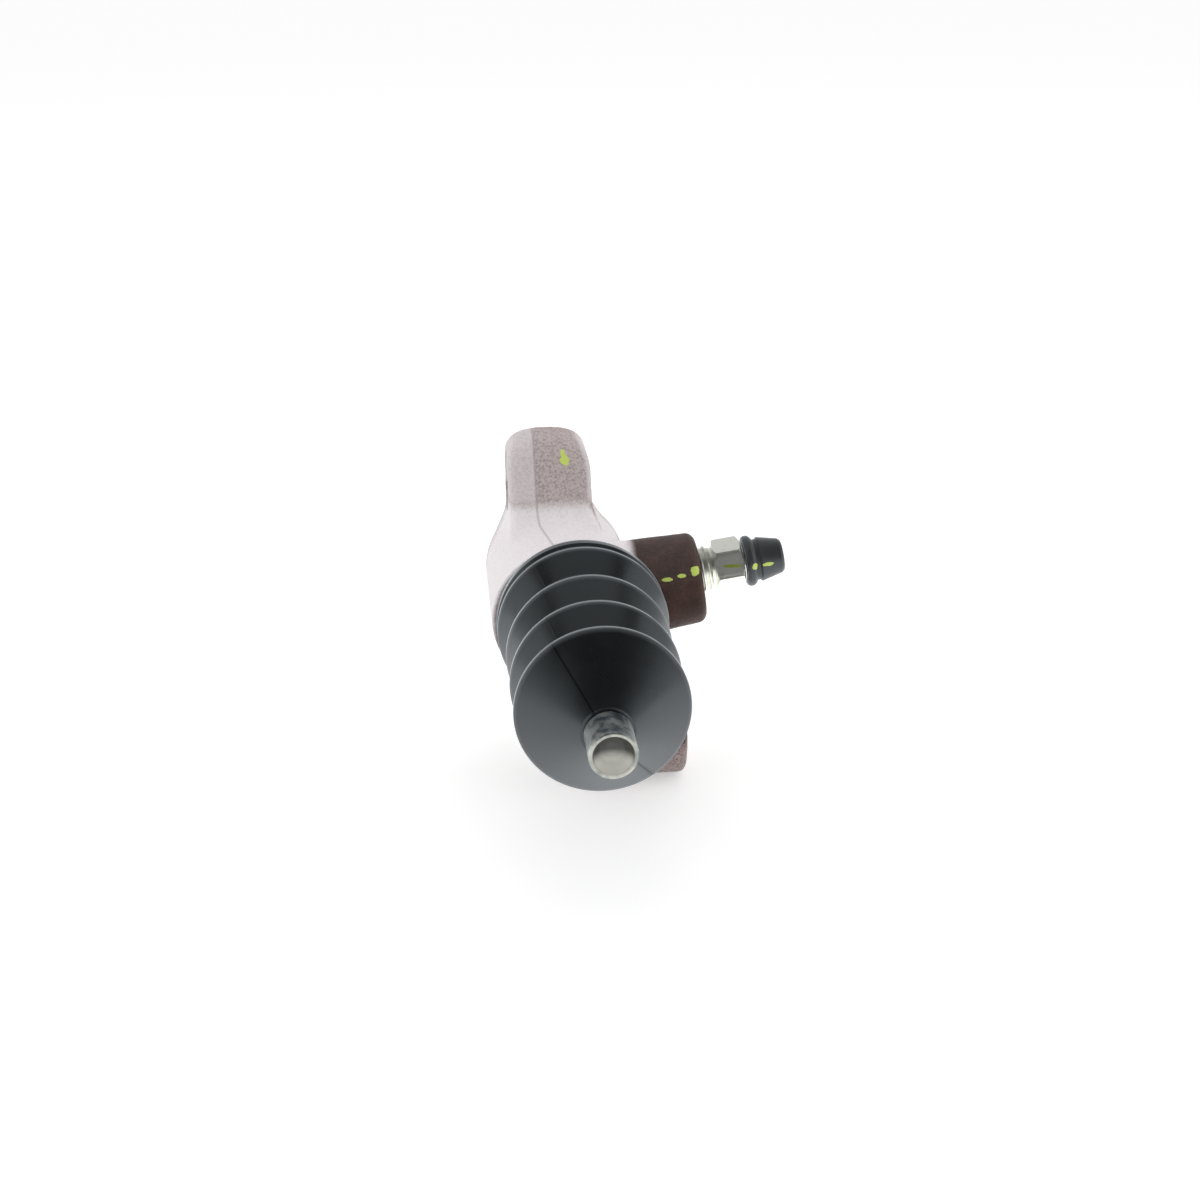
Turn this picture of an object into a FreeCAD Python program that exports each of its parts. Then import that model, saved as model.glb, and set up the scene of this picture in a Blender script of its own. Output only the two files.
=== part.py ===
import FreeCAD, Part
import math
import os
import Sketcher

# Clutch slave cylinder with a cast iron housing, millimetres throughout.
# The cylinder axis runs along Y: the pushrod points to -Y and the fluid port to +Y.
# +Z is up, towards the upper ear, and the bleed screw stands out towards +X.
# The origin is the midpoint between the two mounting holes.

doc = FreeCAD.newDocument("slave_cylinder")
sheet = doc.addObject("Spreadsheet::Sheet", "dims")

SIZES = {
    # Layout along the cylinder axis
    "axis_height": 5.2,  # cylinder axis above the origin
    "barrel_front": -20.8,  # front shoulder of the barrel
    "rear_reach": 4.0,  # rear end of the barrel behind the upper mounting hole
    "nose_length": 22.2,  # bore mouth in front of the shoulder
    "seat_length": 7.2,  # boot seat in front of the shoulder
    "groove_place": 1.8,  # rear wall of the boot groove in front of the shoulder
    "groove_width": 3.2,  # boot groove along the axis
    "end_wall": 6.0,  # barrel's rear wall behind the bore
    "port_length": 11.0,  # fluid port behind the barrel

    # Housing radii
    "bore_radius": 9.525,  # cylinder bore, three quarters of an inch across
    "nose_wall": 2.675,  # wall of the thin nose inside the boot
    "seat_radius": 15.6,  # seat that the boot is pulled over
    "groove_depth": 1.3,  # depth of the boot groove
    "barrel_radius": 15.6,  # outside of the cast barrel
    "barrel_shift": -3.0,  # centre of the cast barrel beside the cylinder axis
    "port_radius": 9.0,  # outside of the fluid port
    "barrel_round": 3.0,  # rounded rear shoulder
    "cast_round": 1.6,  # small rounding of cast edges
    "mouth_chamfer": 1.0,  # lead-in at the bore mouth

    # Fluid port
    "thread_radius": 5.0,  # fluid port thread, M10 fine
    "thread_depth": 9.0,  # depth of the fluid port thread
    "port_depth": 12.0,  # depth of the port's drilled hole
    "drill_step": 0.4,  # drilled hole narrower than the thread, on the radius
    "seat_cone": 2.2,  # height of the flare seat in the port
    "seat_top": 1.9,  # top radius of the flare seat
    "passage_radius": 1.25,  # drilled fluid passages

    # Mounting ears
    "hole_y": 11.0,  # mounting hole from the origin along the axis
    "hole_z": 25.8,  # mounting hole from the origin in height
    "hole_radius": 4.25,  # clearance hole for an M8 bolt
    "ear_round": 8.6,  # round end of the upper ear
    "ear_rise": 3.1,  # centre of the ear's round end above its hole
    "dome_left": 7.5,  # left shoulder of the ear's top, seen from the front
    "dome_right": 8.5,  # right shoulder of the ear's top
    "lug_round": 9.7,  # round end of the lower lug
    "ear_left": -13.4,  # left face of the upper ear
    "ear_right": 4.6,  # right face of the upper ear
    "lug_left": -1.5,  # left face of the lower lug
    "lug_right": 22.8,  # right face of the lower lug
    "ear_lean": 30.0,  # lean of the upper ear's front rim, degrees
    "ear_leg": 17.0,  # length of that rim, its foot inside the barrel
    "ear_heel": 5.0,  # height of the ear's heel behind the barrel
    "lug_lean": 20.0,  # lean of the lower lug's rear rim, degrees
    "lug_leg": 30.0,  # length of that rim, its foot inside the barrel
    "web_left": 0.5,  # left face of the lower lug's web
    "web_right": 13.0,  # right face of the lower lug's web
    "rim_round": 3.2,  # rounding of the ear rims
    "spot_wall": 2.35,  # machined ring round a mounting hole, hole to rim
    "spot_depth": 0.5,  # depth of that ring

    # Bleed boss, screw and cap
    "bleed_y": -8.8,  # bleed screw axis along the cylinder
    "bleed_tilt": 8.0,  # bleed screw axis above the horizontal, degrees
    "bleed_rise": 1.4,  # bleed screw axis above the cylinder axis where they pass
    "boss_wall": 3.2,  # wall of the bleed boss round the screw
    "boss_drop": 3.2,  # centre of the boss's lower round below the screw
    "slant_angle": 107.5,  # slanted bleed passage from the screw axis, degrees
    "slant_length": 15.0,  # length of that passage
    "slant_radius": 1.0,  # radius of that passage
    "boss_height": 11.3,  # boss face farther out than the barrel's radius
    "boss_draft": 3.0,  # draft of the boss, degrees
    "screw_radius": 5.0,  # bleed screw thread, M10 fine
    "screw_gap": 0.06,  # radial play of the bleed screw
    "tip_wall": 4.475,  # tip of the bleed screw outside the bore
    "tip_radius": 1.8,  # flat of the screw's cone tip
    "thread_shown": 3.1,  # thread between boss and hexagon
    "hex_height": 6.3,  # hexagon along the screw
    "hex_flats": 10.0,  # hexagon across flats
    "nipple_radius": 2.7,  # hose nipple
    "barb_radius": 3.2,  # barb of the nipple
    "nipple_length": 6.95,  # nipple outside the hexagon
    "cap_gap": 0.15,  # play between cap, nipple and hexagon
    "cap_crown": 1.75,  # end wall of the cap
    "flange_wall": 2.1,  # cap's flange outside its hollow
    "waist_wall": 1.05,  # cap's groove outside its hollow
    "cone_wall": 1.45,  # thick end of the cap's cone outside its hollow
    "tip_skin": 0.35,  # thin end of the cap's cone outside its hollow

    # Piston, cups and spring
    "piston_set": 2.4,  # piston inside the bore's mouth
    "piston_length": 24.6,  # piston without its stub
    "piston_gap": 0.04,  # radial play of the piston in the bore
    "socket_play": 1.1,  # room round the pushrod in its socket
    "socket_depth": 12.0,  # depth of that socket
    "stub_radius": 3.9,  # stub that centres the spring
    "stub_length": 3.4,  # length of that stub
    "cup_width": 4.6,  # axial room of a cup
    "cup_play": 0.2,  # axial play of a cup
    "rear_land": 2.0,  # piston behind the pressure cup
    "front_land": 3.2,  # piston in front of the dust cup
    "cup_room": 2.625,  # depth of both cup grooves from the bore
    "lip_gap": 0.02,  # play between a cup's lip and the bore
    "lip_depth": 2.0,  # depth of the channel behind a lip
    "wire_radius": 0.65,  # spring wire
    "spring_room": 2.925,  # mean coil radius inside the bore
    "spring_turns": 6,  # number of coils

    # Pushrod and boot
    "rod_radius": 4.5,  # pushrod
    "rod_reach": 9.6,  # pushrod in front of the boot's neck
    "cup_rim": 0.7,  # rim of the cup at the pushrod's end
    "cup_depth": 3.4,  # depth of the cup
    "rod_cut": 0.6,  # depth of the boot's groove in the rod
    "cone_length": 9.9,  # front crest behind the front of the neck
    "neck_length": 4.2,  # boot's neck on the rod
    "neck_gap": 0.05,  # play between boot neck and rod
    "neck_wall": 2.25,  # rubber of the neck
    "pitch_a": 13.0,  # first to second crest
    "pitch_b": 13.8,  # second to third crest
    "pitch_c": 13.1,  # third to rear crest
    "crest_radius": 16.6,  # three front crests
    "fold_a": 3.4,  # depth of the front valley
    "fold_b": 3.0,  # depth of the middle valley
    "fold_c": 2.6,  # depth of the rear valley
    "crest_land": 0.9,  # short land on each crest
    "crest_round": 0.4,  # rounding of the crest lands
    "wall": 1.25,  # rubber thickness
    "collar_length": 5.4,  # rear crest in front of the boot's rear end
    "collar_wall": 2.05,  # rubber over the boot seat
    "collar_gap": 0.4,  # boot's rear end from the barrel's shoulder
    "boot_gap": 0.05,  # play between boot and housing
}

for row, (alias, number) in enumerate(SIZES.items(), start=1):
    sheet.set("A" + str(row), alias)
    sheet.set("B" + str(row), str(number))
    sheet.setAlias("B" + str(row), alias)
doc.recompute()

# Places and radii that follow from the sizes
SEAT_FRONT = "(dims.barrel_front - dims.seat_length)"
NOSE_FRONT = "(dims.barrel_front - dims.nose_length)"
GROOVE_REAR = "(dims.barrel_front - dims.groove_place)"
GROOVE_FRONT = "(dims.barrel_front - dims.groove_place - dims.groove_width)"
BARREL_REAR = "(dims.hole_y + dims.rear_reach)"
PORT_FACE = f"({BARREL_REAR} + dims.port_length)"
BORE_END = f"({BARREL_REAR} - dims.end_wall)"
NOSE_RADIUS = "(dims.bore_radius + dims.nose_wall)"
GROOVE_RADIUS = "(dims.seat_radius - dims.groove_depth)"
DRILL_RADIUS = "(dims.thread_radius - dims.drill_step)"
SPOT_RADIUS = "(dims.hole_radius + dims.spot_wall)"
BOSS_RADIUS = "(dims.screw_radius + dims.boss_wall)"
BOSS_FACE = "(dims.barrel_radius + dims.boss_height)"
SCREW_TIP = "(dims.bore_radius + dims.tip_wall)"
HEX_START = f"({BOSS_FACE} + dims.thread_shown)"
HEX_END = f"({HEX_START} + dims.hex_height)"
NIPPLE_END = f"({HEX_END} + dims.nipple_length)"
CAP_HOLLOW = "(dims.barb_radius + dims.cap_gap)"
CAP_END = f"({NIPPLE_END} + dims.cap_gap + dims.cap_crown)"
CAP_FLANGE = f"({CAP_HOLLOW} + dims.flange_wall)"
CAP_GROOVE = f"({CAP_HOLLOW} + dims.waist_wall)"
CAP_ROOT = f"({CAP_HOLLOW} + dims.cone_wall)"
CAP_TIP = f"({CAP_HOLLOW} + dims.tip_skin)"
PISTON_FRONT = f"({NOSE_FRONT} + dims.piston_set)"
PISTON_REAR = f"({PISTON_FRONT} + dims.piston_length)"
REAR_CUP = f"({PISTON_REAR} - dims.rear_land - dims.cup_width)"
FRONT_CUP = f"({PISTON_FRONT} + dims.front_land)"
CUP_FLOOR = "(dims.bore_radius - dims.cup_room)"
SPRING_RADIUS = "(dims.bore_radius - dims.spring_room)"
SOCKET_RADIUS = "(dims.rod_radius + dims.socket_play)"
SOCKET_FLOOR = f"({PISTON_FRONT} + dims.socket_depth)"
ROD_GROOVE = "(dims.rod_radius - dims.rod_cut)"
CUP_MOUTH = "(dims.rod_radius - dims.cup_rim)"
BOOT_REAR = "(dims.barrel_front - dims.collar_gap)"
CREST_D = f"({BOOT_REAR} - dims.collar_length)"
CREST_C = f"({CREST_D} - dims.pitch_c)"
CREST_B = f"({CREST_C} - dims.pitch_b)"
CREST_A = f"({CREST_B} - dims.pitch_a)"
NECK_FRONT = f"({CREST_A} - dims.cone_length)"
NECK_REAR = f"({NECK_FRONT} + dims.neck_length)"
ROD_TIP = f"({NECK_FRONT} - dims.rod_reach)"
NECK_RADIUS = f"({ROD_GROOVE} + dims.neck_gap + dims.neck_wall)"
REAR_RADIUS = "(dims.seat_radius + dims.boot_gap + dims.collar_wall)"
VALLEY_A = "(dims.crest_radius - dims.fold_a)"
VALLEY_B = "(dims.crest_radius - dims.fold_b)"
VALLEY_C = "(dims.crest_radius - dims.fold_c)"


def value(expression):
    """The number that an expression of the sheet gives."""
    result = sheet.evalExpression(expression)
    return float(getattr(result, "Value", result))


def base_plane(body, role):
    """One of the body's own base planes."""
    for feature in body.Origin.OriginFeatures:
        if feature.Role == role:
            return feature
    raise ValueError(role)


def add_sketch(body, name, role, offset=None):
    """A sketch that lies on one of the body's base planes."""
    sketch = body.newObject("Sketcher::SketchObject", name)
    sketch.AttachmentSupport = (base_plane(body, role), [""])
    sketch.MapMode = "FlatFace"
    if offset is not None:
        sketch.AttachmentOffset = offset
    return sketch


def bind(sketch, kind, first, place, second, end, expression):
    """One driving constraint whose value comes from the sheet."""
    number = value(expression)
    constraint = Sketcher.Constraint(kind, first, place, second, end, number)
    index = sketch.addConstraint(constraint)
    sketch.setExpression("Constraints[" + str(index) + "]", expression)


def pin_point(sketch, curve, end, across, up):
    """Fix one point of a curve by its two coordinates."""
    if across == "0":
        sketch.addConstraint(Sketcher.Constraint("PointOnObject", curve, end, -2))
    else:
        bind(sketch, "DistanceX", -1, 1, curve, end, across)
    if up == "0":
        sketch.addConstraint(Sketcher.Constraint("PointOnObject", curve, end, -1))
    else:
        bind(sketch, "DistanceY", -1, 1, curve, end, up)


def outline(sketch, corners):
    """A closed outline of straight lines through the given corners."""
    spots = [FreeCAD.Vector(value(a), value(b), 0) for a, b in corners]
    count = len(spots)
    for i in range(count):
        sketch.addGeometry(Part.LineSegment(spots[i], spots[(i + 1) % count]), False)
    for i in range(count):
        follower = (i + 1) % count
        sketch.addConstraint(Sketcher.Constraint("Coincident", i, 2, follower, 1))
    for i in range(count):
        pin_point(sketch, i, 1, corners[i][0], corners[i][1])


def ring(sketch, radius, across, up):
    """A circle with its centre and radius taken from the sheet."""
    centre = FreeCAD.Vector(value(across), value(up), 0)
    shape = Part.Circle(centre, FreeCAD.Vector(0, 0, 1), value(radius))
    curve = sketch.addGeometry(shape, False)
    index = sketch.addConstraint(Sketcher.Constraint("Radius", curve, value(radius)))
    sketch.setExpression("Constraints[" + str(index) + "]", radius)
    pin_point(sketch, curve, 3, across, up)


def turn(body, name, corners, kind="Revolution", role="XY_Plane", line="V_Axis", offset=None):
    """Turn an outline once round a sketch axis, as material or as a cut."""
    sketch = add_sketch(body, name + "_sketch", role, offset)
    outline(sketch, corners)
    feature = body.newObject("PartDesign::" + kind, name)
    feature.Profile = sketch
    feature.ReferenceAxis = (sketch, [line])
    feature.Angle = 360
    doc.recompute()
    return feature


def round_off(body, name, radius, wanted):
    """Round the edges of the body's tip that the test picks."""
    tip = body.Tip
    names = []
    for number, edge in enumerate(tip.Shape.Edges, 1):
        if wanted(edge):
            names.append("Edge" + str(number))
    feature = body.newObject("PartDesign::Fillet", name)
    feature.Base = (tip, names)
    feature.setExpression("Radius", radius)
    doc.recompute()
    return feature


def on_axis(body):
    """Put a body that is drawn round the Y axis on the cylinder axis."""
    body.setExpression("Placement.Base.z", "dims.axis_height")


def is_ring(edge, radius, along):
    """True for a circular edge round Y with this radius and position."""
    curve = edge.Curve
    if not isinstance(curve, Part.Circle):
        return False
    same = abs(curve.Radius - radius) < 1e-4
    there = abs(curve.Center.y - along) < 1e-4
    return same and there and abs(abs(curve.Axis.y) - 1) < 1e-6


def tilt_cut(sketch, along, out, turn_angle):
    """Lay a sketch in the plane of the bleed screw and the cylinder axis."""
    lean = FreeCAD.Rotation(FreeCAD.Vector(0, -1, 0), value("dims.bleed_tilt"))
    spin = FreeCAD.Rotation(FreeCAD.Vector(0, 0, 1), turn_angle)
    base = lean.multVec(FreeCAD.Vector(out, along, value("dims.bleed_rise")))
    sketch.AttachmentOffset = FreeCAD.Placement(base, lean.multiply(spin))
    sketch.setExpression("AttachmentOffset.Base.y", "dims.bleed_y")


def stadium(sketch, radius, drop):
    """Two half circles joined by upright lines, the upper one at the centre."""
    r = value(radius)
    d = value(drop)
    up = FreeCAD.Vector(0, 0, 1)
    top = Part.Circle(FreeCAD.Vector(0, 0, 0), up, r)
    low = Part.Circle(FreeCAD.Vector(0, -d, 0), up, r)
    sketch.addGeometry(Part.ArcOfCircle(top, 0, math.pi), False)
    sketch.addGeometry(Part.LineSegment(FreeCAD.Vector(-r, 0, 0), FreeCAD.Vector(-r, -d, 0)), False)
    sketch.addGeometry(Part.ArcOfCircle(low, math.pi, 2 * math.pi), False)
    sketch.addGeometry(Part.LineSegment(FreeCAD.Vector(r, -d, 0), FreeCAD.Vector(r, 0, 0)), False)
    sketch.addConstraint(Sketcher.Constraint("Coincident", 0, 3, -1, 1))
    sketch.addConstraint(Sketcher.Constraint("PointOnObject", 2, 3, -2))
    sketch.addConstraint(Sketcher.Constraint("Tangent", 0, 2, 1, 1))
    sketch.addConstraint(Sketcher.Constraint("Tangent", 1, 2, 2, 1))
    sketch.addConstraint(Sketcher.Constraint("Tangent", 2, 2, 3, 1))
    sketch.addConstraint(Sketcher.Constraint("Tangent", 3, 2, 0, 1))
    index = sketch.addConstraint(Sketcher.Constraint("Radius", 0, r))
    sketch.setExpression("Constraints[" + str(index) + "]", radius)
    bind(sketch, "DistanceY", 2, 3, -1, 1, drop)


def side_pad(body, name, left, right, draw):
    """Material between two upright side planes, drawn in the YZ plane."""
    sketch = add_sketch(body, name + "_sketch", "YZ_Plane")
    sketch.setExpression("AttachmentOffset.Base.z", left)
    draw(sketch)
    feature = body.newObject("PartDesign::Pad", name)
    feature.Profile = sketch
    feature.setExpression("Length", "(" + right + ") - (" + left + ")")
    doc.recompute()
    return feature


def side_cut(body, name, start, depth, draw, reverse=False):
    """A cut from an upright side plane, towards -X unless reversed."""
    sketch = add_sketch(body, name + "_sketch", "YZ_Plane")
    sketch.setExpression("AttachmentOffset.Base.z", start)
    draw(sketch)
    feature = body.newObject("PartDesign::Pocket", name)
    feature.Profile = sketch
    feature.setExpression("Length", depth)
    feature.Reversed = reverse
    doc.recompute()
    return feature


UPPER_Z = "dims.hole_z - dims.axis_height"
LOWER_Z = "-dims.hole_z - dims.axis_height"
EAR_Z = UPPER_Z + " + dims.ear_rise"


def draw_ear_web(sketch):
    """Upper ear below its round end: the front rim leans back to meet the round."""
    touch = ("dims.hole_y - dims.ear_round * cos(dims.ear_lean * 1deg)",
             EAR_Z + " + dims.ear_round * sin(dims.ear_lean * 1deg)")
    foot = (touch[0] + " - dims.ear_leg * sin(dims.ear_lean * 1deg)",
            touch[1] + " - dims.ear_leg * cos(dims.ear_lean * 1deg)")
    heel = ("dims.hole_y + dims.ear_round", "dims.ear_heel")
    back = ("dims.hole_y + dims.ear_round", EAR_Z)
    outline(sketch, [touch, foot, heel, back])


def draw_lug_web(sketch):
    """Lower lug above its round end: upright front rim, leaning rear rim."""
    front = "-dims.hole_y - dims.lug_round"
    touch = ("-dims.hole_y + dims.lug_round * cos(dims.lug_lean * 1deg)",
             LOWER_Z + " - dims.lug_round * sin(dims.lug_lean * 1deg)")
    top = (touch[0] + " + dims.lug_leg * sin(dims.lug_lean * 1deg)",
           touch[1] + " + dims.lug_leg * cos(dims.lug_lean * 1deg)")
    outline(sketch, [(front, LOWER_Z), (front, top[1]), top, touch])


def in_plane(edge, across):
    """True for an edge that lies in the upright plane at this X."""
    box = edge.BoundBox
    return abs(box.XMin - across) < 1e-4 and abs(box.XMax - across) < 1e-4


def make_housing():
    """Cast iron housing: ears, barrel, bleed boss and all machined cuts."""
    body = doc.addObject("PartDesign::Body", "housing")
    side_pad(body, "ear_web", "dims.ear_left", "dims.ear_right", draw_ear_web)
    side_pad(body, "ear_eye", "dims.ear_left", "dims.ear_right",
             lambda s: ring(s, "dims.ear_round", "dims.hole_y", EAR_Z))
    faces = [value("dims.ear_left"), value("dims.ear_right")]
    foot = value(EAR_Z + " - dims.ear_round")
    round_off(body, "ear_rims", "dims.rim_round",
              lambda e: any(in_plane(e, x) for x in faces) and e.BoundBox.ZMax > foot)
    cut_shoulder(body, "ear_shoulder_left", "dims.ear_left", "dims.dome_left", -1)
    cut_shoulder(body, "ear_shoulder_right", "dims.ear_right", "dims.dome_right", 1)
    turn(body, "cylinder", [
        ("0", NOSE_FRONT),
        (NOSE_RADIUS, NOSE_FRONT),
        (NOSE_RADIUS, f"{SEAT_FRONT} - 1"),
        ("dims.seat_radius - 1.2", SEAT_FRONT),
        ("dims.seat_radius", f"{SEAT_FRONT} + 0.8"),
        ("dims.seat_radius", GROOVE_FRONT),
        (GROOVE_RADIUS, GROOVE_FRONT),
        (GROOVE_RADIUS, GROOVE_REAR),
        ("dims.seat_radius", GROOVE_REAR),
        ("dims.seat_radius", "dims.barrel_front"),
        (NOSE_RADIUS, "dims.barrel_front"),
        (NOSE_RADIUS, BARREL_REAR),
        ("dims.port_radius", BARREL_REAR),
        ("dims.port_radius", PORT_FACE),
        ("0", PORT_FACE)])
    add_barrel(body)
    side_pad(body, "lug_web", "dims.web_left", "dims.web_right", draw_lug_web)
    side_pad(body, "lug_eye", "dims.lug_left", "dims.lug_right",
             lambda s: ring(s, "dims.lug_round", "-dims.hole_y", LOWER_Z))
    add_boss(body)
    round_housing(body)
    cut_bore(body)
    cut_bleed_hole(body)
    cut_mounting_holes(body)
    on_axis(body)
    return body


def cut_shoulder(body, name, side, radius, hand):
    """Take one upper corner off the ear, so that its top is a dome from the front."""
    across = f"{side} + {hand} * (0.1 - {radius})"
    up = f"{EAR_Z} + dims.ear_round + 0.1 - {radius}"
    out = f"{across} + {hand} * ({radius} + 1)"
    over = f"{up} + {radius} + 1"
    sketch = add_sketch(body, name + "_sketch", "XZ_Plane")
    sketch.setExpression("AttachmentOffset.Base.z", "dims.ear_round + 1 - dims.hole_y")
    centre = FreeCAD.Vector(value(across), value(up), 0)
    circle = Part.Circle(centre, FreeCAD.Vector(0, 0, 1), value(radius))
    first = 0 if hand > 0 else math.pi / 2
    sketch.addGeometry(Part.ArcOfCircle(circle, first, first + math.pi / 2), False)
    corners = [(out, up), (out, over), (across, over)]
    spots = [FreeCAD.Vector(value(a), value(b), 0) for a, b in corners]
    edge = FreeCAD.Vector(centre.x + hand * value(radius), centre.y, 0)
    crown = FreeCAD.Vector(centre.x, centre.y + value(radius), 0)
    path = [edge] + spots + [crown]
    for i in range(4):
        sketch.addGeometry(Part.LineSegment(path[i], path[i + 1]), False)
    low, high = (1, 2) if hand > 0 else (2, 1)
    sketch.addConstraint(Sketcher.Constraint("Coincident", 0, low, 1, 1))
    for i in (1, 2, 3):
        sketch.addConstraint(Sketcher.Constraint("Coincident", i, 2, i + 1, 1))
    sketch.addConstraint(Sketcher.Constraint("Coincident", 4, 2, 0, high))
    for i, corner in enumerate(corners):
        pin_point(sketch, i + 2, 1, corner[0], corner[1])
    pin_point(sketch, 0, 3, across, up)
    bind(sketch, "DistanceY", -1, 1, 0, low, up)
    bind(sketch, "DistanceX", -1, 1, 0, high, across)
    index = sketch.addConstraint(Sketcher.Constraint("Radius", 0, value(radius)))
    sketch.setExpression("Constraints[" + str(index) + "]", radius)
    cut = body.newObject("PartDesign::Pocket", name)
    cut.Profile = sketch
    cut.setExpression("Length", "2 * dims.ear_round + 2")
    doc.recompute()


def add_barrel(body):
    """Cast barrel round the cylinder, its centre a little to the left."""
    sketch = add_sketch(body, "barrel_sketch", "XZ_Plane")
    sketch.setExpression("AttachmentOffset.Base.z", "-" + BARREL_REAR)
    ring(sketch, "dims.barrel_radius", "dims.barrel_shift", "0")
    pad = body.newObject("PartDesign::Pad", "barrel")
    pad.Profile = sketch
    pad.setExpression("Length", f"{BARREL_REAR} - dims.barrel_front")
    doc.recompute()


def add_boss(body):
    """Bleed boss, drafted from its face inwards."""
    sketch = add_sketch(body, "boss_sketch", "YZ_Plane")
    lean = value("dims.bleed_tilt")
    axis = FreeCAD.Vector(-1, 0, 0)
    sketch.AttachmentOffset = FreeCAD.Placement(FreeCAD.Vector(), FreeCAD.Rotation(axis, lean))
    sketch.setExpression("AttachmentOffset.Base.x", "dims.bleed_y")
    sine = "sin(dims.bleed_tilt * 1deg)"
    cosine = "cos(dims.bleed_tilt * 1deg)"
    up = f"{BOSS_FACE} * {sine} + dims.bleed_rise * {cosine}"
    out = f"{BOSS_FACE} * {cosine} - dims.bleed_rise * {sine}"
    sketch.setExpression("AttachmentOffset.Base.y", up)
    sketch.setExpression("AttachmentOffset.Base.z", out)
    stadium(sketch, BOSS_RADIUS, "dims.boss_drop")
    pad = body.newObject("PartDesign::Pad", "boss")
    pad.Profile = sketch
    pad.Reversed = True
    pad.setExpression("Length", f"{BOSS_FACE} - 0.5 * dims.bore_radius")
    pad.setExpression("TaperAngle", "dims.boss_draft")
    doc.recompute()


def round_housing(body):
    """Round the cast edges that stay rough on the real casting."""
    sides = [value("dims.lug_left"), value("dims.lug_right")]
    round_off(body, "lug_rims", "dims.cast_round", lambda e: any(in_plane(e, x) for x in sides))
    face = boss_plane()
    round_off(body, "boss_rim", "dims.cast_round",
              lambda e: all(abs(face(v.Point)) < 1e-4 for v in e.Vertexes))
    rear = value(BARREL_REAR)
    port = value(PORT_FACE)
    wide = value("dims.barrel_radius")
    narrow = value("dims.port_radius")
    round_off(body, "rear_shoulder", "dims.barrel_round", lambda e: is_ring(e, wide, rear))
    round_off(body, "port_rim", "0.5 * dims.cast_round", lambda e: is_ring(e, narrow, port))


def boss_plane():
    """The signed distance of a point from the boss face."""
    lean = math.radians(value("dims.bleed_tilt"))
    reach = value(BOSS_FACE)
    return lambda p: p.x * math.cos(lean) + p.z * math.sin(lean) - reach


def cut_bore(body):
    """Cylinder bore from the nose and fluid port from the rear."""
    turn(body, "bore", [
        ("0", f"{NOSE_FRONT} - 1"),
        ("dims.bore_radius + dims.mouth_chamfer", f"{NOSE_FRONT} - 1"),
        ("dims.bore_radius + dims.mouth_chamfer", NOSE_FRONT),
        ("dims.bore_radius", f"{NOSE_FRONT} + dims.mouth_chamfer"),
        ("dims.bore_radius", BORE_END),
        ("0", BORE_END)], "Groove")
    turn(body, "port", [
        ("0", f"{PORT_FACE} + 1"),
        ("dims.thread_radius + 0.7", f"{PORT_FACE} + 1"),
        ("dims.thread_radius + 0.7", PORT_FACE),
        ("dims.thread_radius", f"{PORT_FACE} - 0.7"),
        ("dims.thread_radius", f"{PORT_FACE} - dims.thread_depth"),
        (DRILL_RADIUS, f"{PORT_FACE} - dims.thread_depth"),
        (DRILL_RADIUS, f"{PORT_FACE} - dims.port_depth"),
        (f"{DRILL_RADIUS} - 0.5", f"{PORT_FACE} - dims.port_depth"),
        ("dims.seat_top", f"{PORT_FACE} - dims.port_depth + dims.seat_cone"),
        ("dims.passage_radius", f"{PORT_FACE} - dims.port_depth + dims.seat_cone"),
        ("dims.passage_radius", f"{BORE_END} - 0.5"),
        ("0", f"{BORE_END} - 0.5")], "Groove")


def cut_bleed_hole(body):
    """Tapped hole with a cone seat, and the slanted passage to the bore's closed end."""
    level = FreeCAD.Placement()
    cut = turn(body, "bleed_hole", [
        (f"{BOSS_FACE} + 1", "0"),
        (f"{BOSS_FACE} + 1", "dims.screw_radius + dims.screw_gap"),
        (f"{SCREW_TIP} + dims.screw_radius - dims.tip_radius", "dims.screw_radius + dims.screw_gap"),
        (f"{SCREW_TIP} - dims.screw_gap", "dims.tip_radius"),
        (f"{SCREW_TIP} - dims.screw_gap - 1.4", "dims.passage_radius"),
        (f"{SCREW_TIP} - dims.screw_gap - 1.4", "0")],
        "Groove", "XY_Plane", "H_Axis", level)
    tilt_cut(cut.Profile[0], value("dims.bleed_y"), 0, 0)
    slant = turn(body, "bleed_passage", [
        ("0", "0"),
        ("0", "dims.slant_radius"),
        ("dims.slant_length", "dims.slant_radius"),
        ("dims.slant_length", "0")],
        "Groove", "XY_Plane", "H_Axis", level)
    start = value(f"{SCREW_TIP} - dims.screw_gap - 1.1")
    tilt_cut(slant.Profile[0], value("dims.bleed_y"), start, value("dims.slant_angle"))
    doc.recompute()


def cut_mounting_holes(body):
    """The two bolt holes, each with a machined ring on both faces."""
    def upper(sketch):
        ring(sketch, "dims.hole_radius", "dims.hole_y", UPPER_Z)

    def lower(sketch):
        ring(sketch, "dims.hole_radius", "-dims.hole_y", LOWER_Z)

    def upper_ring(sketch):
        ring(sketch, SPOT_RADIUS, "dims.hole_y", UPPER_Z)

    def lower_ring(sketch):
        ring(sketch, SPOT_RADIUS, "-dims.hole_y", LOWER_Z)

    side_cut(body, "upper_hole", "dims.ear_right + 1", "dims.ear_right - dims.ear_left + 2", upper)
    side_cut(body, "lower_hole", "dims.lug_right + 1", "dims.lug_right - dims.lug_left + 2", lower)
    side_cut(body, "upper_ring_right", "dims.ear_right + 1", "1 + dims.spot_depth", upper_ring)
    side_cut(body, "upper_ring_left", "dims.ear_left - 1", "1 + dims.spot_depth", upper_ring, True)
    side_cut(body, "lower_ring_right", "dims.lug_right + 1", "1 + dims.spot_depth", lower_ring)
    side_cut(body, "lower_ring_left", "dims.lug_left - 1", "1 + dims.spot_depth", lower_ring, True)


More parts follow.
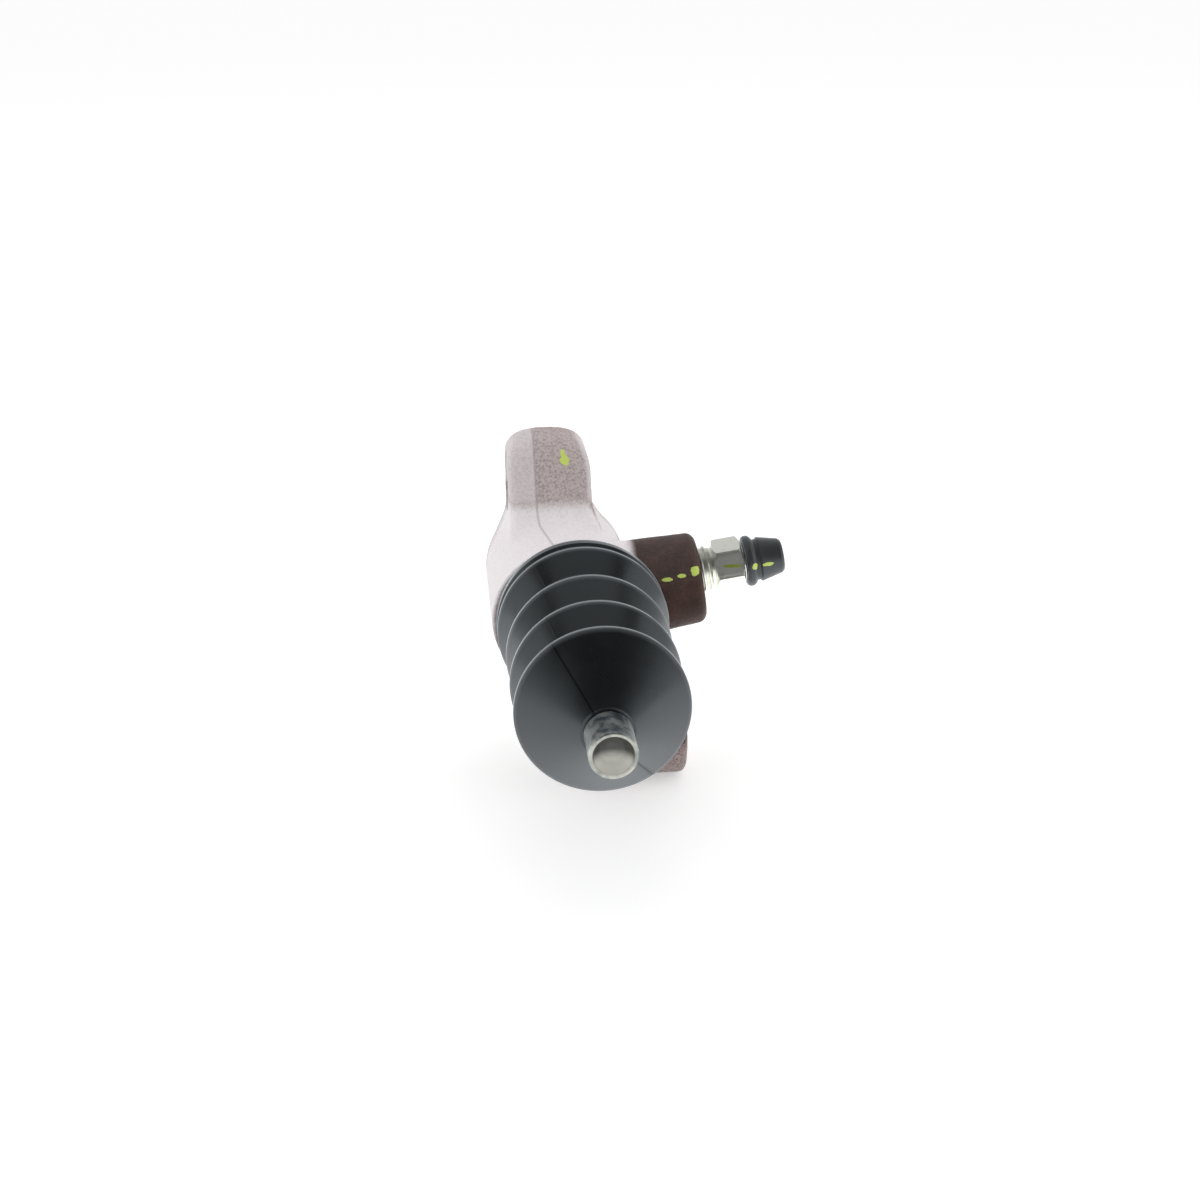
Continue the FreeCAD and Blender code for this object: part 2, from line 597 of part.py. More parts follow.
def make_bleed_screw():
    """Bleed screw with cone tip, thread, hexagon and hose nipple, drawn along X."""
    body = doc.addObject("PartDesign::Body", "bleed_screw")
    turn(body, "screw_stem", [
        (SCREW_TIP, "0"),
        (SCREW_TIP, "dims.tip_radius"),
        (f"{SCREW_TIP} + dims.screw_radius - dims.tip_radius", "dims.screw_radius"),
        (f"{HEX_START} - 0.6", "dims.screw_radius"),
        (f"{HEX_START} - 0.6", "0.42 * dims.hex_flats"),
        (f"{HEX_END} + 0.4", "0.42 * dims.hex_flats"),
        (f"{HEX_END} + 0.4", "dims.nipple_radius"),
        (f"{NIPPLE_END} - 3.2", "dims.nipple_radius"),
        (f"{NIPPLE_END} - 2.8", "dims.barb_radius"),
        (NIPPLE_END, "dims.nipple_radius - 0.3"),
        (NIPPLE_END, "0")], "Revolution", "XY_Plane", "H_Axis")
    hexagon = add_sketch(body, "hexagon_sketch", "YZ_Plane")
    hexagon.setExpression("AttachmentOffset.Base.z", HEX_START)
    corner = "dims.hex_flats / (2 * cos(30deg))"
    half = "dims.hex_flats / 2"
    outline(hexagon, [
        ("0", corner), (half, corner + " / 2"), (half, "-" + corner + " / 2"),
        ("0", "-" + corner), ("-" + half, "-" + corner + " / 2"), ("-" + half, corner + " / 2")])
    pad = body.newObject("PartDesign::Pad", "hexagon")
    pad.Profile = hexagon
    pad.setExpression("Length", f"{HEX_END} - {HEX_START}")
    doc.recompute()
    turn(body, "screw_bore", [
        (f"{SCREW_TIP} + 4.5", "0"),
        (f"{SCREW_TIP} + 4.5", "1.1"),
        (f"{NIPPLE_END} + 1", "1.1"),
        (f"{NIPPLE_END} + 1", "0")], "Groove", "XY_Plane", "H_Axis")
    cross = add_sketch(body, "cross_sketch", "XY_Plane")
    ring(cross, "dims.passage_radius - 0.25", f"{SCREW_TIP} + 5.4", "0")
    drill = body.newObject("PartDesign::Pocket", "cross_hole")
    drill.Profile = cross
    drill.Type = "ThroughAll"
    doc.recompute()
    lay_on_bleed_axis(body)
    return body


def make_bleed_cap():
    """Rubber dust cap on the nipple, drawn along X."""
    body = doc.addObject("PartDesign::Body", "bleed_cap")
    turn(body, "cap_skin", [
        (f"{HEX_END} + 0.4 + dims.cap_gap", CAP_HOLLOW),
        (f"{HEX_END} + 0.4 + dims.cap_gap", f"{CAP_FLANGE} - 0.3"),
        (f"{HEX_END} + 0.9 + dims.cap_gap", CAP_FLANGE),
        (f"{HEX_END} + 1.7 + dims.cap_gap", CAP_FLANGE),
        (f"{HEX_END} + 2.3 + dims.cap_gap", f"{CAP_FLANGE} - 0.5"),
        (f"{HEX_END} + 2.6 + dims.cap_gap", CAP_GROOVE),
        (f"{HEX_END} + 3.3 + dims.cap_gap", CAP_GROOVE),
        (f"{HEX_END} + 3.6 + dims.cap_gap", CAP_ROOT),
        (f"{CAP_END} - 0.7", CAP_TIP),
        (f"{CAP_END} - 0.2", f"{CAP_TIP} - 0.35"),
        (CAP_END, f"{CAP_TIP} - 1"),
        (CAP_END, "0"),
        (f"{NIPPLE_END} + dims.cap_gap", "0"),
        (f"{NIPPLE_END} + dims.cap_gap", CAP_HOLLOW)],
        "Revolution", "XY_Plane", "H_Axis")
    lay_on_bleed_axis(body)
    return body


def lay_on_bleed_axis(body):
    """Turn a body drawn along X onto the tilted bleed screw axis."""
    lean = FreeCAD.Rotation(FreeCAD.Vector(0, -1, 0), value("dims.bleed_tilt"))
    body.Placement = FreeCAD.Placement(FreeCAD.Vector(), lean)
    rise = "dims.axis_height + dims.bleed_rise * cos(dims.bleed_tilt * 1deg)"
    body.setExpression("Placement.Base.x", "-dims.bleed_rise * sin(dims.bleed_tilt * 1deg)")
    body.setExpression("Placement.Base.y", "dims.bleed_y")
    body.setExpression("Placement.Base.z", rise)
    doc.recompute()


def make_piston():
    """Aluminium piston with a socket for the pushrod and two cup grooves."""
    body = doc.addObject("PartDesign::Body", "piston")
    skin = "dims.bore_radius - dims.piston_gap"
    turn(body, "piston_turned", [
        (f"{SOCKET_RADIUS} + 0.6", PISTON_FRONT),
        (skin + " - 0.5", PISTON_FRONT),
        (skin, f"{PISTON_FRONT} + 0.5"),
        (skin, FRONT_CUP),
        (CUP_FLOOR, FRONT_CUP),
        (CUP_FLOOR, f"{FRONT_CUP} + dims.cup_width"),
        (skin, f"{FRONT_CUP} + dims.cup_width"),
        (skin, REAR_CUP),
        (CUP_FLOOR, REAR_CUP),
        (CUP_FLOOR, f"{REAR_CUP} + dims.cup_width"),
        (skin + " - 0.6", f"{REAR_CUP} + dims.cup_width"),
        (skin + " - 0.6", PISTON_REAR),
        ("dims.stub_radius", PISTON_REAR),
        ("dims.stub_radius - 0.5", f"{PISTON_REAR} + dims.stub_length"),
        ("0", f"{PISTON_REAR} + dims.stub_length"),
        ("0", SOCKET_FLOOR),
        (f"{SOCKET_RADIUS} - 2.4", SOCKET_FLOOR),
        (SOCKET_RADIUS, f"{SOCKET_FLOOR} - 2.4"),
        (SOCKET_RADIUS, f"{PISTON_FRONT} + 0.6")])
    on_axis(body)
    return body


def make_cup(name, start):
    """Rubber lip seal in a piston groove, its channel open to the fluid side."""
    body = doc.addObject("PartDesign::Body", name)
    front = start + " + dims.cup_play / 2"
    rear = start + " + dims.cup_width - dims.cup_play / 2"
    floor = f"{CUP_FLOOR} + 0.02"
    lip = "dims.bore_radius - dims.lip_gap"
    turn(body, name + "_ring", [
        (floor, front),
        (lip + " - 0.3", front),
        (lip, front + " + 0.5"),
        (lip, rear),
        (lip + " - 0.7", rear),
        (lip + " - 1", rear + " - dims.lip_depth"),
        (floor + " + 0.8", rear + " - dims.lip_depth"),
        (floor + " + 0.7", rear),
        (floor, rear)])
    on_axis(body)
    return body


def make_spring():
    """Return spring between the bore's closed end and the piston's shoulder."""
    body = doc.addObject("PartDesign::Body", "return_spring")
    sketch = add_sketch(body, "wire_sketch", "XY_Plane")
    start = f"{PISTON_REAR} + dims.wire_radius + 0.02"
    ring(sketch, "dims.wire_radius", SPRING_RADIUS, start)
    coil = body.newObject("PartDesign::AdditiveHelix", "coil")
    coil.Profile = sketch
    coil.ReferenceAxis = (sketch, ["V_Axis"])
    coil.Mode = "height-turns-growth"
    coil.setExpression("Height", f"{BORE_END} - {PISTON_REAR} - 2 * dims.wire_radius - 0.04")
    coil.Growth = 0
    coil.setExpression("Turns", "dims.spring_turns")
    doc.recompute()
    on_axis(body)
    return body


def make_pushrod():
    """Pushrod with a round inner end, a boot groove and a cupped outer end."""
    body = doc.addObject("PartDesign::Body", "pushrod")
    turn(body, "rod", [
        ("0", f"{SOCKET_FLOOR} - 0.02"),
        ("dims.rod_radius - 2.1", f"{SOCKET_FLOOR} - 0.02"),
        ("dims.rod_radius - 0.7", f"{SOCKET_FLOOR} - 0.9"),
        ("dims.rod_radius", f"{SOCKET_FLOOR} - 2.4"),
        ("dims.rod_radius", f"{NECK_REAR} + 0.3"),
        (ROD_GROOVE, NECK_REAR),
        (ROD_GROOVE, f"{NECK_FRONT} - dims.neck_gap"),
        ("dims.rod_radius", f"{NECK_FRONT} - 0.5"),
        ("dims.rod_radius", f"{ROD_TIP} + 0.3"),
        ("dims.rod_radius - 0.3", ROD_TIP),
        (CUP_MOUTH, ROD_TIP),
        (f"0.92 * {CUP_MOUTH}", f"{ROD_TIP} + 0.4 * dims.cup_depth"),
        (f"0.66 * {CUP_MOUTH}", f"{ROD_TIP} + 0.78 * dims.cup_depth"),
        (f"0.34 * {CUP_MOUTH}", f"{ROD_TIP} + 0.96 * dims.cup_depth"),
        ("0", f"{ROD_TIP} + dims.cup_depth")])
    on_axis(body)
    return body


def crest(radius, place):
    """The two corners of a crest's short land."""
    return [(radius, place + " - dims.crest_land / 2"), (radius, place + " + dims.crest_land / 2")]


def on_crest(edge, crests):
    """True for the two edges of a crest's land."""
    curve = edge.Curve
    if not isinstance(curve, Part.Circle):
        return False
    half = value("dims.crest_land") / 2
    radii = [value("dims.crest_radius"), value(REAR_RADIUS)]
    level = any(abs(curve.Radius - r) < 1e-4 for r in radii)
    return level and any(abs(abs(curve.Center.y - place) - half) < 1e-4 for place in crests)


def make_boot():
    """Rubber bellows from the housing's boot seat to the rod's groove."""
    body = doc.addObject("PartDesign::Body", "boot")
    neck = f"{ROD_GROOVE} + dims.neck_gap"
    seat = "dims.seat_radius + dims.boot_gap"
    low = f"{GROOVE_RADIUS} + dims.boot_gap"
    outer = [(f"{NECK_RADIUS} - 0.5", NECK_FRONT), (NECK_RADIUS, f"{NECK_FRONT} + 0.5")]
    outer += crest("dims.crest_radius", CREST_A)
    outer += crest(VALLEY_A, f"({CREST_A} + {CREST_B}) / 2")
    outer += crest("dims.crest_radius", CREST_B)
    outer += crest(VALLEY_B, f"({CREST_B} + {CREST_C}) / 2")
    outer += crest("dims.crest_radius", CREST_C)
    outer += crest(VALLEY_C, f"({CREST_C} + {CREST_D}) / 2")
    outer += crest(REAR_RADIUS, CREST_D)
    outer += [(f"{REAR_RADIUS} - 0.5", f"{CREST_D} + 1.4"),
              (REAR_RADIUS, f"{CREST_D} + 2.4"),
              (REAR_RADIUS, f"{BOOT_REAR} - 0.8"),
              (f"{REAR_RADIUS} - 0.6", BOOT_REAR)]
    gap = "dims.boot_gap"
    inner = [(seat, BOOT_REAR),
             (seat, f"{GROOVE_REAR} - " + gap),
             (low, f"{GROOVE_REAR} - " + gap),
             (low, f"{GROOVE_FRONT} + " + gap),
             (seat, f"{GROOVE_FRONT} + " + gap),
             (seat, f"{SEAT_FRONT} - " + gap)]
    inner += crest(f"{VALLEY_C} - dims.wall", f"({CREST_C} + {CREST_D}) / 2")
    inner += crest("dims.crest_radius - dims.wall", CREST_C)
    inner += crest(f"{VALLEY_B} - dims.wall", f"({CREST_B} + {CREST_C}) / 2")
    inner += crest("dims.crest_radius - dims.wall", CREST_B)
    inner += crest(f"{VALLEY_A} - dims.wall", f"({CREST_A} + {CREST_B}) / 2")
    inner += crest("dims.crest_radius - dims.wall", CREST_A)
    fold = []
    for across, along in outer:
        fold.append((across, along))
    for i in range(6, len(inner), 2):
        fold.append(inner[i + 1])
        fold.append(inner[i])
    fold = outer + inner[:6] + fold[len(outer):]
    fold += [("dims.rod_radius + 1", NECK_REAR), (neck, f"{NECK_REAR} - 0.1"), (neck, NECK_FRONT)]
    turn(body, "bellows", fold)
    crests = [value(place) for place in (CREST_A, CREST_B, CREST_C, CREST_D)]
    round_off(body, "crest_edges", "dims.crest_round",
              lambda e: on_crest(e, crests))
    on_axis(body)
    return body


def write_step(body):
    """Check one finished sub-part and write it under its own name."""
    shape = body.Shape
    if shape.isNull() or not shape.isValid() or len(shape.Solids) != 1:
        raise ValueError(body.Label + " is not one sound solid")
    shape.exportStep("parts/" + body.Label + ".step")


def main():
    """Build every sub-part, check the document and write the files."""
    bodies = [
        make_housing(),
        make_bleed_screw(),
        make_bleed_cap(),
        make_piston(),
        make_cup("pressure_cup", REAR_CUP),
        make_cup("dust_cup", FRONT_CUP),
        make_spring(),
        make_pushrod(),
        make_boot()]
    doc.recompute()
    for item in doc.Objects:
        if "Invalid" in item.State or "Error" in item.State:
            raise ValueError(item.Name + " did not rebuild")
    os.makedirs("parts", exist_ok=True)
    for body in bodies:
        write_step(body)


main()
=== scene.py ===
"""Looks of the clutch slave cylinder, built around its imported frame, in metres."""

import logging
import math
from dataclasses import dataclass
from enum import Enum
from typing import Sequence

import bpy
import numpy as np
from mathutils import Matrix, Vector

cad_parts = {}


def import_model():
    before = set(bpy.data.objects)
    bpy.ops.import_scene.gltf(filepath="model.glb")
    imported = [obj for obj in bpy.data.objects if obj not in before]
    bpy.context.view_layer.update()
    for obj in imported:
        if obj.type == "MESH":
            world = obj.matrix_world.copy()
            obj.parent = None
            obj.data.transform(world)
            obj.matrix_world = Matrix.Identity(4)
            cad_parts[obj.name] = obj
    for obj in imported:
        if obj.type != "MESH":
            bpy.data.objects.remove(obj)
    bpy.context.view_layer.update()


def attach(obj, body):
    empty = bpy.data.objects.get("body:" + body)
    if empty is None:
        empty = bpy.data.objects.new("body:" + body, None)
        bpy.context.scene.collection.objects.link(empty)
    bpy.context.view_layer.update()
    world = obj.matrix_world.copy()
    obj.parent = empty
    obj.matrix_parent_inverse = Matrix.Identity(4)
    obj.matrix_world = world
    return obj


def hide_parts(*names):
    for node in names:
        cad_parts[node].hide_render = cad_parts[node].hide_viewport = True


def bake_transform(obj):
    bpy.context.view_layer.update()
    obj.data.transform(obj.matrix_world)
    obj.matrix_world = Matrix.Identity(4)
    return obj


# Metres in a millimetre, and the height of the cylinder axis over the frame's origin in
# millimetres. All sizes below are millimetres unless they say otherwise.
MM = 0.001
AXIS_HEIGHT = 5.2
PAINT_GREEN = (0.66, 0.80, 0.17)
RIGHT, AHEAD, UP = (1.0, 0.0, 0.0), (0.0, 1.0, 0.0), (0.0, 0.0, 1.0)
LOG = logging.getLogger("slave_cylinder")

# Three numbers: a place, direction, size or colour. Three arrays: places along x, y and z, or
# along the bleed screw and off it.
Three = tuple[float, float, float]
Arrays = tuple[np.ndarray, np.ndarray, np.ndarray]


class Body(Enum):
    """Moving bodies of the frame."""

    HOUSING = "housing_body"
    PISTON = "piston_body"
    SCREW = "bleed_screw_body"
    CAP = "bleed_cap_body"


@dataclass(frozen=True)
class Line:
    """A turning axis: a point on it and its direction, millimetres.

    Attributes:
        start: Point where the distance along the axis is zero.
        along: Unit direction of the axis.
    """

    start: Three
    along: Three

    def place(self, far: np.ndarray, radius: np.ndarray, turn: np.ndarray) -> np.ndarray:
        """Points at a distance along the axis, a radius and an angle round it.

        A point is start + far * along + radius * (cos(turn) * side + sin(turn) * up), where side
        points right for an axis along the part and to the front for an axis across it.

        Args:
            far: Distances along the axis.
            radius: Distances from the axis.
            turn: Angles round the axis, radians.

        Returns:
            Points in metres, with one more dimension than the inputs.
        """
        along = np.array(self.along)
        lengthwise = abs(along[1]) > 0.9
        side = np.array((1.0, 0.0, 0.0) if lengthwise else (0.0, -1.0, 0.0))
        up = np.cross(side, along) if lengthwise else np.cross(along, side)
        around = np.cos(turn)[..., None] * side + np.sin(turn)[..., None] * up
        return (np.array(self.start) + far[..., None] * along + radius[..., None] * around) * MM


# The bleed screw leans up from the horizontal and passes the cylinder axis at a small height.
BLEED_TILT = math.radians(8.0)
BLEED_RISE = 1.4
BLEED_PLACE = -8.8
CYLINDER = Line((0.0, 0.0, AXIS_HEIGHT), (0.0, 1.0, 0.0))
BLEED = Line(
    (-BLEED_RISE * math.sin(BLEED_TILT), BLEED_PLACE,
     AXIS_HEIGHT + BLEED_RISE * math.cos(BLEED_TILT)),
    (math.cos(BLEED_TILT), 0.0, math.sin(BLEED_TILT)))


def rounded(corners: Sequence[Three], spacing: float, steps: int = 5) -> np.ndarray:
    """A profile line through corners, each cut by an arc of its own radius.

    At a corner the arc touches both sides at radius * tan(half the turn) from it, and its
    points run evenly in angle from one touching point to the other.

    Args:
        corners: (radius from the axis, distance along it, rounding) of each corner.
        spacing: Longest step along a straight stretch.
        steps: Steps of each arc.

    Returns:
        Array of (radius, distance along) points.
    """
    longest_reach, shortest_reach, straight, apart = 0.49, 1e-4, 0.499 * math.pi, 1e-5
    spots = np.array([corner[:2] for corner in corners], dtype=float)
    line = [spots[:1]]
    for here in range(1, len(spots) - 1):
        back = spots[here - 1] - spots[here]
        ahead = spots[here + 1] - spots[here]
        back_length, ahead_length = np.linalg.norm(back), np.linalg.norm(ahead)
        back, ahead = back / back_length, ahead / ahead_length
        half = 0.5 * math.acos(max(-1.0, min(1.0, float(back @ ahead))))
        reach = min(corners[here][2] / max(math.tan(half), 1e-6),
                    longest_reach * back_length, longest_reach * ahead_length)
        if reach < shortest_reach or half > straight:
            line.append(spots[here:here + 1])
            continue
        radius = reach * math.tan(half)
        inward = (back + ahead) / np.linalg.norm(back + ahead)
        middle = spots[here] + inward * radius / math.sin(half)
        first, last = spots[here] + back * reach - middle, spots[here] + ahead * reach - middle
        start = math.atan2(first[1], first[0])
        swing = (math.atan2(last[1], last[0]) - start + math.pi) % (2 * math.pi) - math.pi
        angles = start + swing * np.linspace(0.0, 1.0, steps + 1)
        line.append(middle + radius * np.stack([np.cos(angles), np.sin(angles)], axis=1))
    line.append(spots[-1:])
    points = np.concatenate(line)
    points = points[np.r_[True, np.linalg.norm(np.diff(points, axis=0), axis=1) > apart]]
    length = np.r_[0.0, np.cumsum(np.linalg.norm(np.diff(points, axis=0), axis=1))]
    extra = np.arange(spacing, length[-1], spacing)
    gap = np.abs(extra[:, None] - length[None, :]).min(axis=1)
    where = np.sort(np.r_[length, extra[gap > 0.4 * spacing]])
    return np.stack([np.interp(where, length, points[:, k]) for k in range(2)], axis=1)


def full_turn(count: int) -> np.ndarray:
    """Angles evenly spaced round one turn, without the last."""
    return np.arange(count) * (2 * math.pi / count)


def lattice_noise(points: np.ndarray, cell: float, seed: int) -> np.ndarray:
    """Smooth noise between -1 and 1 from a lattice of random values.

    Each point mixes the eight values round its cell, weighted by 3 f^2 - 2 f^3 on each axis,
    where f is how far it lies through the cell.

    Args:
        points: Array of points, metres.
        cell: Size of a cell, millimetres.
        seed: Number that picks the lattice.

    Returns:
        One value per point.
    """
    size, offset = 64, 1000.0
    table = np.random.default_rng(seed).uniform(-1.0, 1.0, (size, size, size))
    scaled = points / (cell * MM) + offset
    low = np.floor(scaled).astype(int)
    share = scaled - low
    share = share * share * (3.0 - 2.0 * share)
    total = np.zeros(points.shape[:-1])
    for corner in np.ndindex(2, 2, 2):
        weight = np.prod(np.where(np.array(corner) == 1, share, 1.0 - share), axis=-1)
        cells = (low + np.array(corner)) % size
        total += weight * table[cells[..., 0], cells[..., 1], cells[..., 2]]
    return total


def make_object(name: str, points: np.ndarray, faces: list,
                sharp: float = 35.0) -> bpy.types.Object:
    """A mesh object with its faces turned outwards and its sharp edges marked.

    The sign of the enclosed volume, the sum of a . (b x c) / 6 over the triangles fanned from
    each face, tells which way the faces point.

    Args:
        name: Name of the piece.
        points: Vertices, metres.
        faces: Vertex numbers of each face.
        sharp: Edges that turn by more than this many degrees are shaded sharp.

    Returns:
        The new object, linked to the scene.
    """
    mesh = bpy.data.meshes.new(name)
    mesh.from_pydata(points.tolist(), [], faces)
    mesh.validate()
    mesh.calc_loop_triangles()
    corners = np.empty(len(mesh.loop_triangles) * 3, dtype=np.int64)
    mesh.loop_triangles.foreach_get("vertices", corners)
    a, b, c = (points[corners.reshape(-1, 3)[:, k]] for k in range(3))
    if np.einsum("ij,ij->i", a, np.cross(b, c)).sum() < 0:
        mesh.flip_normals()
    mesh.polygons.foreach_set("use_smooth", np.ones(len(mesh.polygons), dtype=bool))
    mesh.set_sharp_from_angle(angle=math.radians(sharp))
    mesh.update()
    piece = bpy.data.objects.new(name, mesh)
    bpy.context.scene.collection.objects.link(piece)
    return piece


def ring_quads(below: np.ndarray, above: np.ndarray) -> list:
    """Quads that join each closed row of vertex numbers to the row above it."""
    corners = (below, np.roll(below, -1, axis=1), np.roll(above, -1, axis=1), above)
    return np.stack(corners, axis=-1).reshape(-1, 4).tolist()


def turned(name: str, line: Line, far: np.ndarray, radius: np.ndarray, turn: np.ndarray,
           loop: bool = False, sharp: float = 35.0) -> bpy.types.Object:
    """A surface of rows round an axis, closed at its ends by poles or by joining them.

    Row i holds the points at far[i, j], radius[i, j] and turn[j]. Neighbouring rows are
    joined by quads, and where it doesn't loop, one point on the axis closes each end.

    Args:
        name: Name of the piece.
        line: Axis of the surface.
        far: Distance along the axis of each row and column.
        radius: Radius of each row and column.
        turn: Angle of each column.
        loop: True where the last row joins the first.
        sharp: Edges that turn by more degrees than this are sharp.

    Returns:
        The new object.
    """
    rows, columns = radius.shape
    points = line.place(far, radius, np.broadcast_to(turn, radius.shape)).reshape(-1, 3)
    number = np.arange(rows * columns).reshape(rows, columns)
    below = number if loop else number[:-1]
    above = np.roll(number, -1, axis=0) if loop else number[1:]
    faces = ring_quads(below, above)
    if not loop:
        ends = line.place(np.array([far[0].mean(), far[-1].mean()]), np.zeros(2), np.zeros(2))
        first, last = len(points), len(points) + 1
        points = np.concatenate([points, ends])
        start = np.stack([np.roll(number[0], -1), number[0], np.full(columns, first)], axis=-1)
        stop = np.stack([number[-1], np.roll(number[-1], -1), np.full(columns, last)], axis=-1)
        faces += start.tolist() + stop.tolist()
    return make_object(name, points, faces, sharp)


def lathe(name: str, line: Line, profile: np.ndarray, count: int, loop: bool = False,
          sharp: float = 35.0) -> bpy.types.Object:
    """A profile of (radius, distance along) turned round an axis.

    Args:
        name: Name of the piece.
        line: Axis of the turning.
        profile: Array of (radius, distance along) points, inside or outside order alike.
        count: Points round the axis.
        loop: True where the profile is a closed line.
        sharp: Edges that turn by more degrees than this are sharp.

    Returns:
        The new object.
    """
    shape = (len(profile), count)
    far = np.broadcast_to(profile[:, 1:2], shape)
    radius = np.broadcast_to(profile[:, 0:1], shape)
    return turned(name, line, far, radius, full_turn(count), loop, sharp)


class Graph:
    """A node tree under construction, with short calls for the nodes used here."""

    def __init__(self, tree: bpy.types.NodeTree) -> None:
        """Start from an emptied tree."""
        self.tree = tree
        tree.nodes.clear()

    def node(self, kind: str) -> bpy.types.Node:
        """Add a node."""
        return self.tree.nodes.new(kind)

    def feed(self, socket: bpy.types.NodeSocket, value: object) -> None:
        """Link a socket to a node's output, or set its constant."""
        if isinstance(value, bpy.types.NodeSocket):
            self.tree.links.new(value, socket)
        else:
            socket.default_value = value

    def math(self, operation: str, first: object, second: object = 0.0,
             third: object = 0.0) -> bpy.types.NodeSocket:
        """One step of arithmetic on numbers."""
        node = self.node("ShaderNodeMath")
        node.operation = operation
        for socket, value in zip(node.inputs, (first, second, third)):
            self.feed(socket, value)
        return node.outputs[0]

    def chain(self, operation: str, first: object, *others: object) -> bpy.types.NodeSocket:
        """The same arithmetic on several numbers in turn."""
        for other in others:
            first = self.math(operation, first, other)
        return first

    def vector(self, operation: str, first: object, second: object) -> bpy.types.NodeSocket:
        """One step of arithmetic on vectors; the number output where it has one."""
        node = self.node("ShaderNodeVectorMath")
        node.operation = operation
        self.feed(node.inputs[0], first)
        self.feed(node.inputs[1], second)
        return node.outputs["Value" if operation in ("DISTANCE", "DOT_PRODUCT") else "Vector"]

    def spread(self, value: object, low: float, high: float, to_low: float = 0.0,
               to_high: float = 1.0) -> bpy.types.NodeSocket:
        """Map a number from one span to another with soft ends, held inside it."""
        node = self.node("ShaderNodeMapRange")
        node.interpolation_type = "SMOOTHSTEP"
        for socket, number in zip(node.inputs, (value, low, high, to_low, to_high)):
            self.feed(socket, number)
        return node.outputs[0]


class Shader(Graph):
    """A material under construction, with one Principled surface."""

    def __init__(self, name: str) -> None:
        """Start the material."""
        self.material = bpy.data.materials.new(name)
        self.material.use_nodes = True
        super().__init__(self.material.node_tree)
        self.surface = self.node("ShaderNodeBsdfPrincipled")
        output = self.node("ShaderNodeOutputMaterial")
        self.feed(output.inputs["Surface"], self.surface.outputs["BSDF"])
        self.place = self.node("ShaderNodeTexCoord").outputs["Object"]
        self.facing = self.node("ShaderNodeNewGeometry").outputs["Normal"]

    def set(self, **values: object) -> None:
        """Set or link inputs of the surface, with _ for a space in a socket's name."""
        for name, value in values.items():
            self.feed(self.surface.inputs[name.replace("_", " ")], value)

    def along(self, axis: Sequence[float]) -> bpy.types.NodeSocket:
        """How far a point lies along a direction from the frame's origin, metres."""
        return self.vector("DOT_PRODUCT", self.place, tuple(axis))

    def edge(self, value: bpy.types.NodeSocket, span: tuple[float, float], low: float = 0.0,
             high: float = 1.0) -> bpy.types.NodeSocket:
        """A soft step between two places in millimetres, from low at the first to high."""
        return self.spread(value, span[0] * MM, span[1] * MM, low, high)

    def noise(self, scale: float, detail: float = 4.0, rough: float = 0.55) -> bpy.types.NodeSocket:
        """Noise between 0 and 1; scale is in cells per millimetre."""
        node = self.node("ShaderNodeTexNoise")
        node.inputs["Scale"].default_value = scale / MM
        node.inputs["Detail"].default_value = detail
        node.inputs["Roughness"].default_value = rough
        self.feed(node.inputs["Vector"], self.place)
        return node.outputs["Fac"]

    def mix(self, share: object, first: object, second: object) -> bpy.types.NodeSocket:
        """Mix two colours."""
        node = self.node("ShaderNodeMix")
        node.data_type = "RGBA"
        self.feed(node.inputs[0], share)
        for socket, value in ((node.inputs[6], first), (node.inputs[7], second)):
            self.feed(socket, value if isinstance(value, bpy.types.NodeSocket) else (*value, 1.0))
        return node.outputs[2]

    def bump(self, height: bpy.types.NodeSocket, depth: float) -> bpy.types.NodeSocket:
        """Bump from a height between 0 and 1; depth is in millimetres."""
        node = self.node("ShaderNodeBump")
        node.inputs["Strength"].default_value = 1.0
        node.inputs["Distance"].default_value = depth * MM
        self.feed(node.inputs["Height"], height)
        return node.outputs["Normal"]

    def layer(self, name: str) -> bpy.types.NodeSocket:
        """Value of one of the mesh's own layers."""
        node = self.node("ShaderNodeAttribute")
        node.attribute_name = name
        return node.outputs["Fac"]

    def dab(self, color: bpy.types.NodeSocket, marks: Sequence["PaintMark"],
            ragged: float) -> bpy.types.NodeSocket:
        """Lay dabs of paint over a colour, each an ellipsoid whose edge a noise breaks up.

        Args:
            color: Colour below the paint.
            marks: The dabs.
            ragged: Scale of the noise, cells per millimetre.

        Returns:
            The painted colour.
        """
        strength, outside, inside = 0.9, 1.55, 1.4
        broken = self.math("MULTIPLY", self.noise(ragged, 3.0), strength)
        for mark in marks:
            shift = self.vector("SUBTRACT", self.place, tuple(v * MM for v in mark.spot))
            scaled = self.vector("DIVIDE", shift, tuple(v * MM for v in mark.size))
            far = self.math("ADD", self.vector("DISTANCE", scaled, (0.0, 0.0, 0.0)), broken)
            color = self.mix(self.spread(far, outside, inside), color, PAINT_GREEN)
        return color


@dataclass(frozen=True)
class PaintMark:
    """A dab of inspection paint.

    Attributes:
        spot: Its middle, millimetres.
        size: Its half axes, millimetres.
    """

    spot: Three
    size: Three


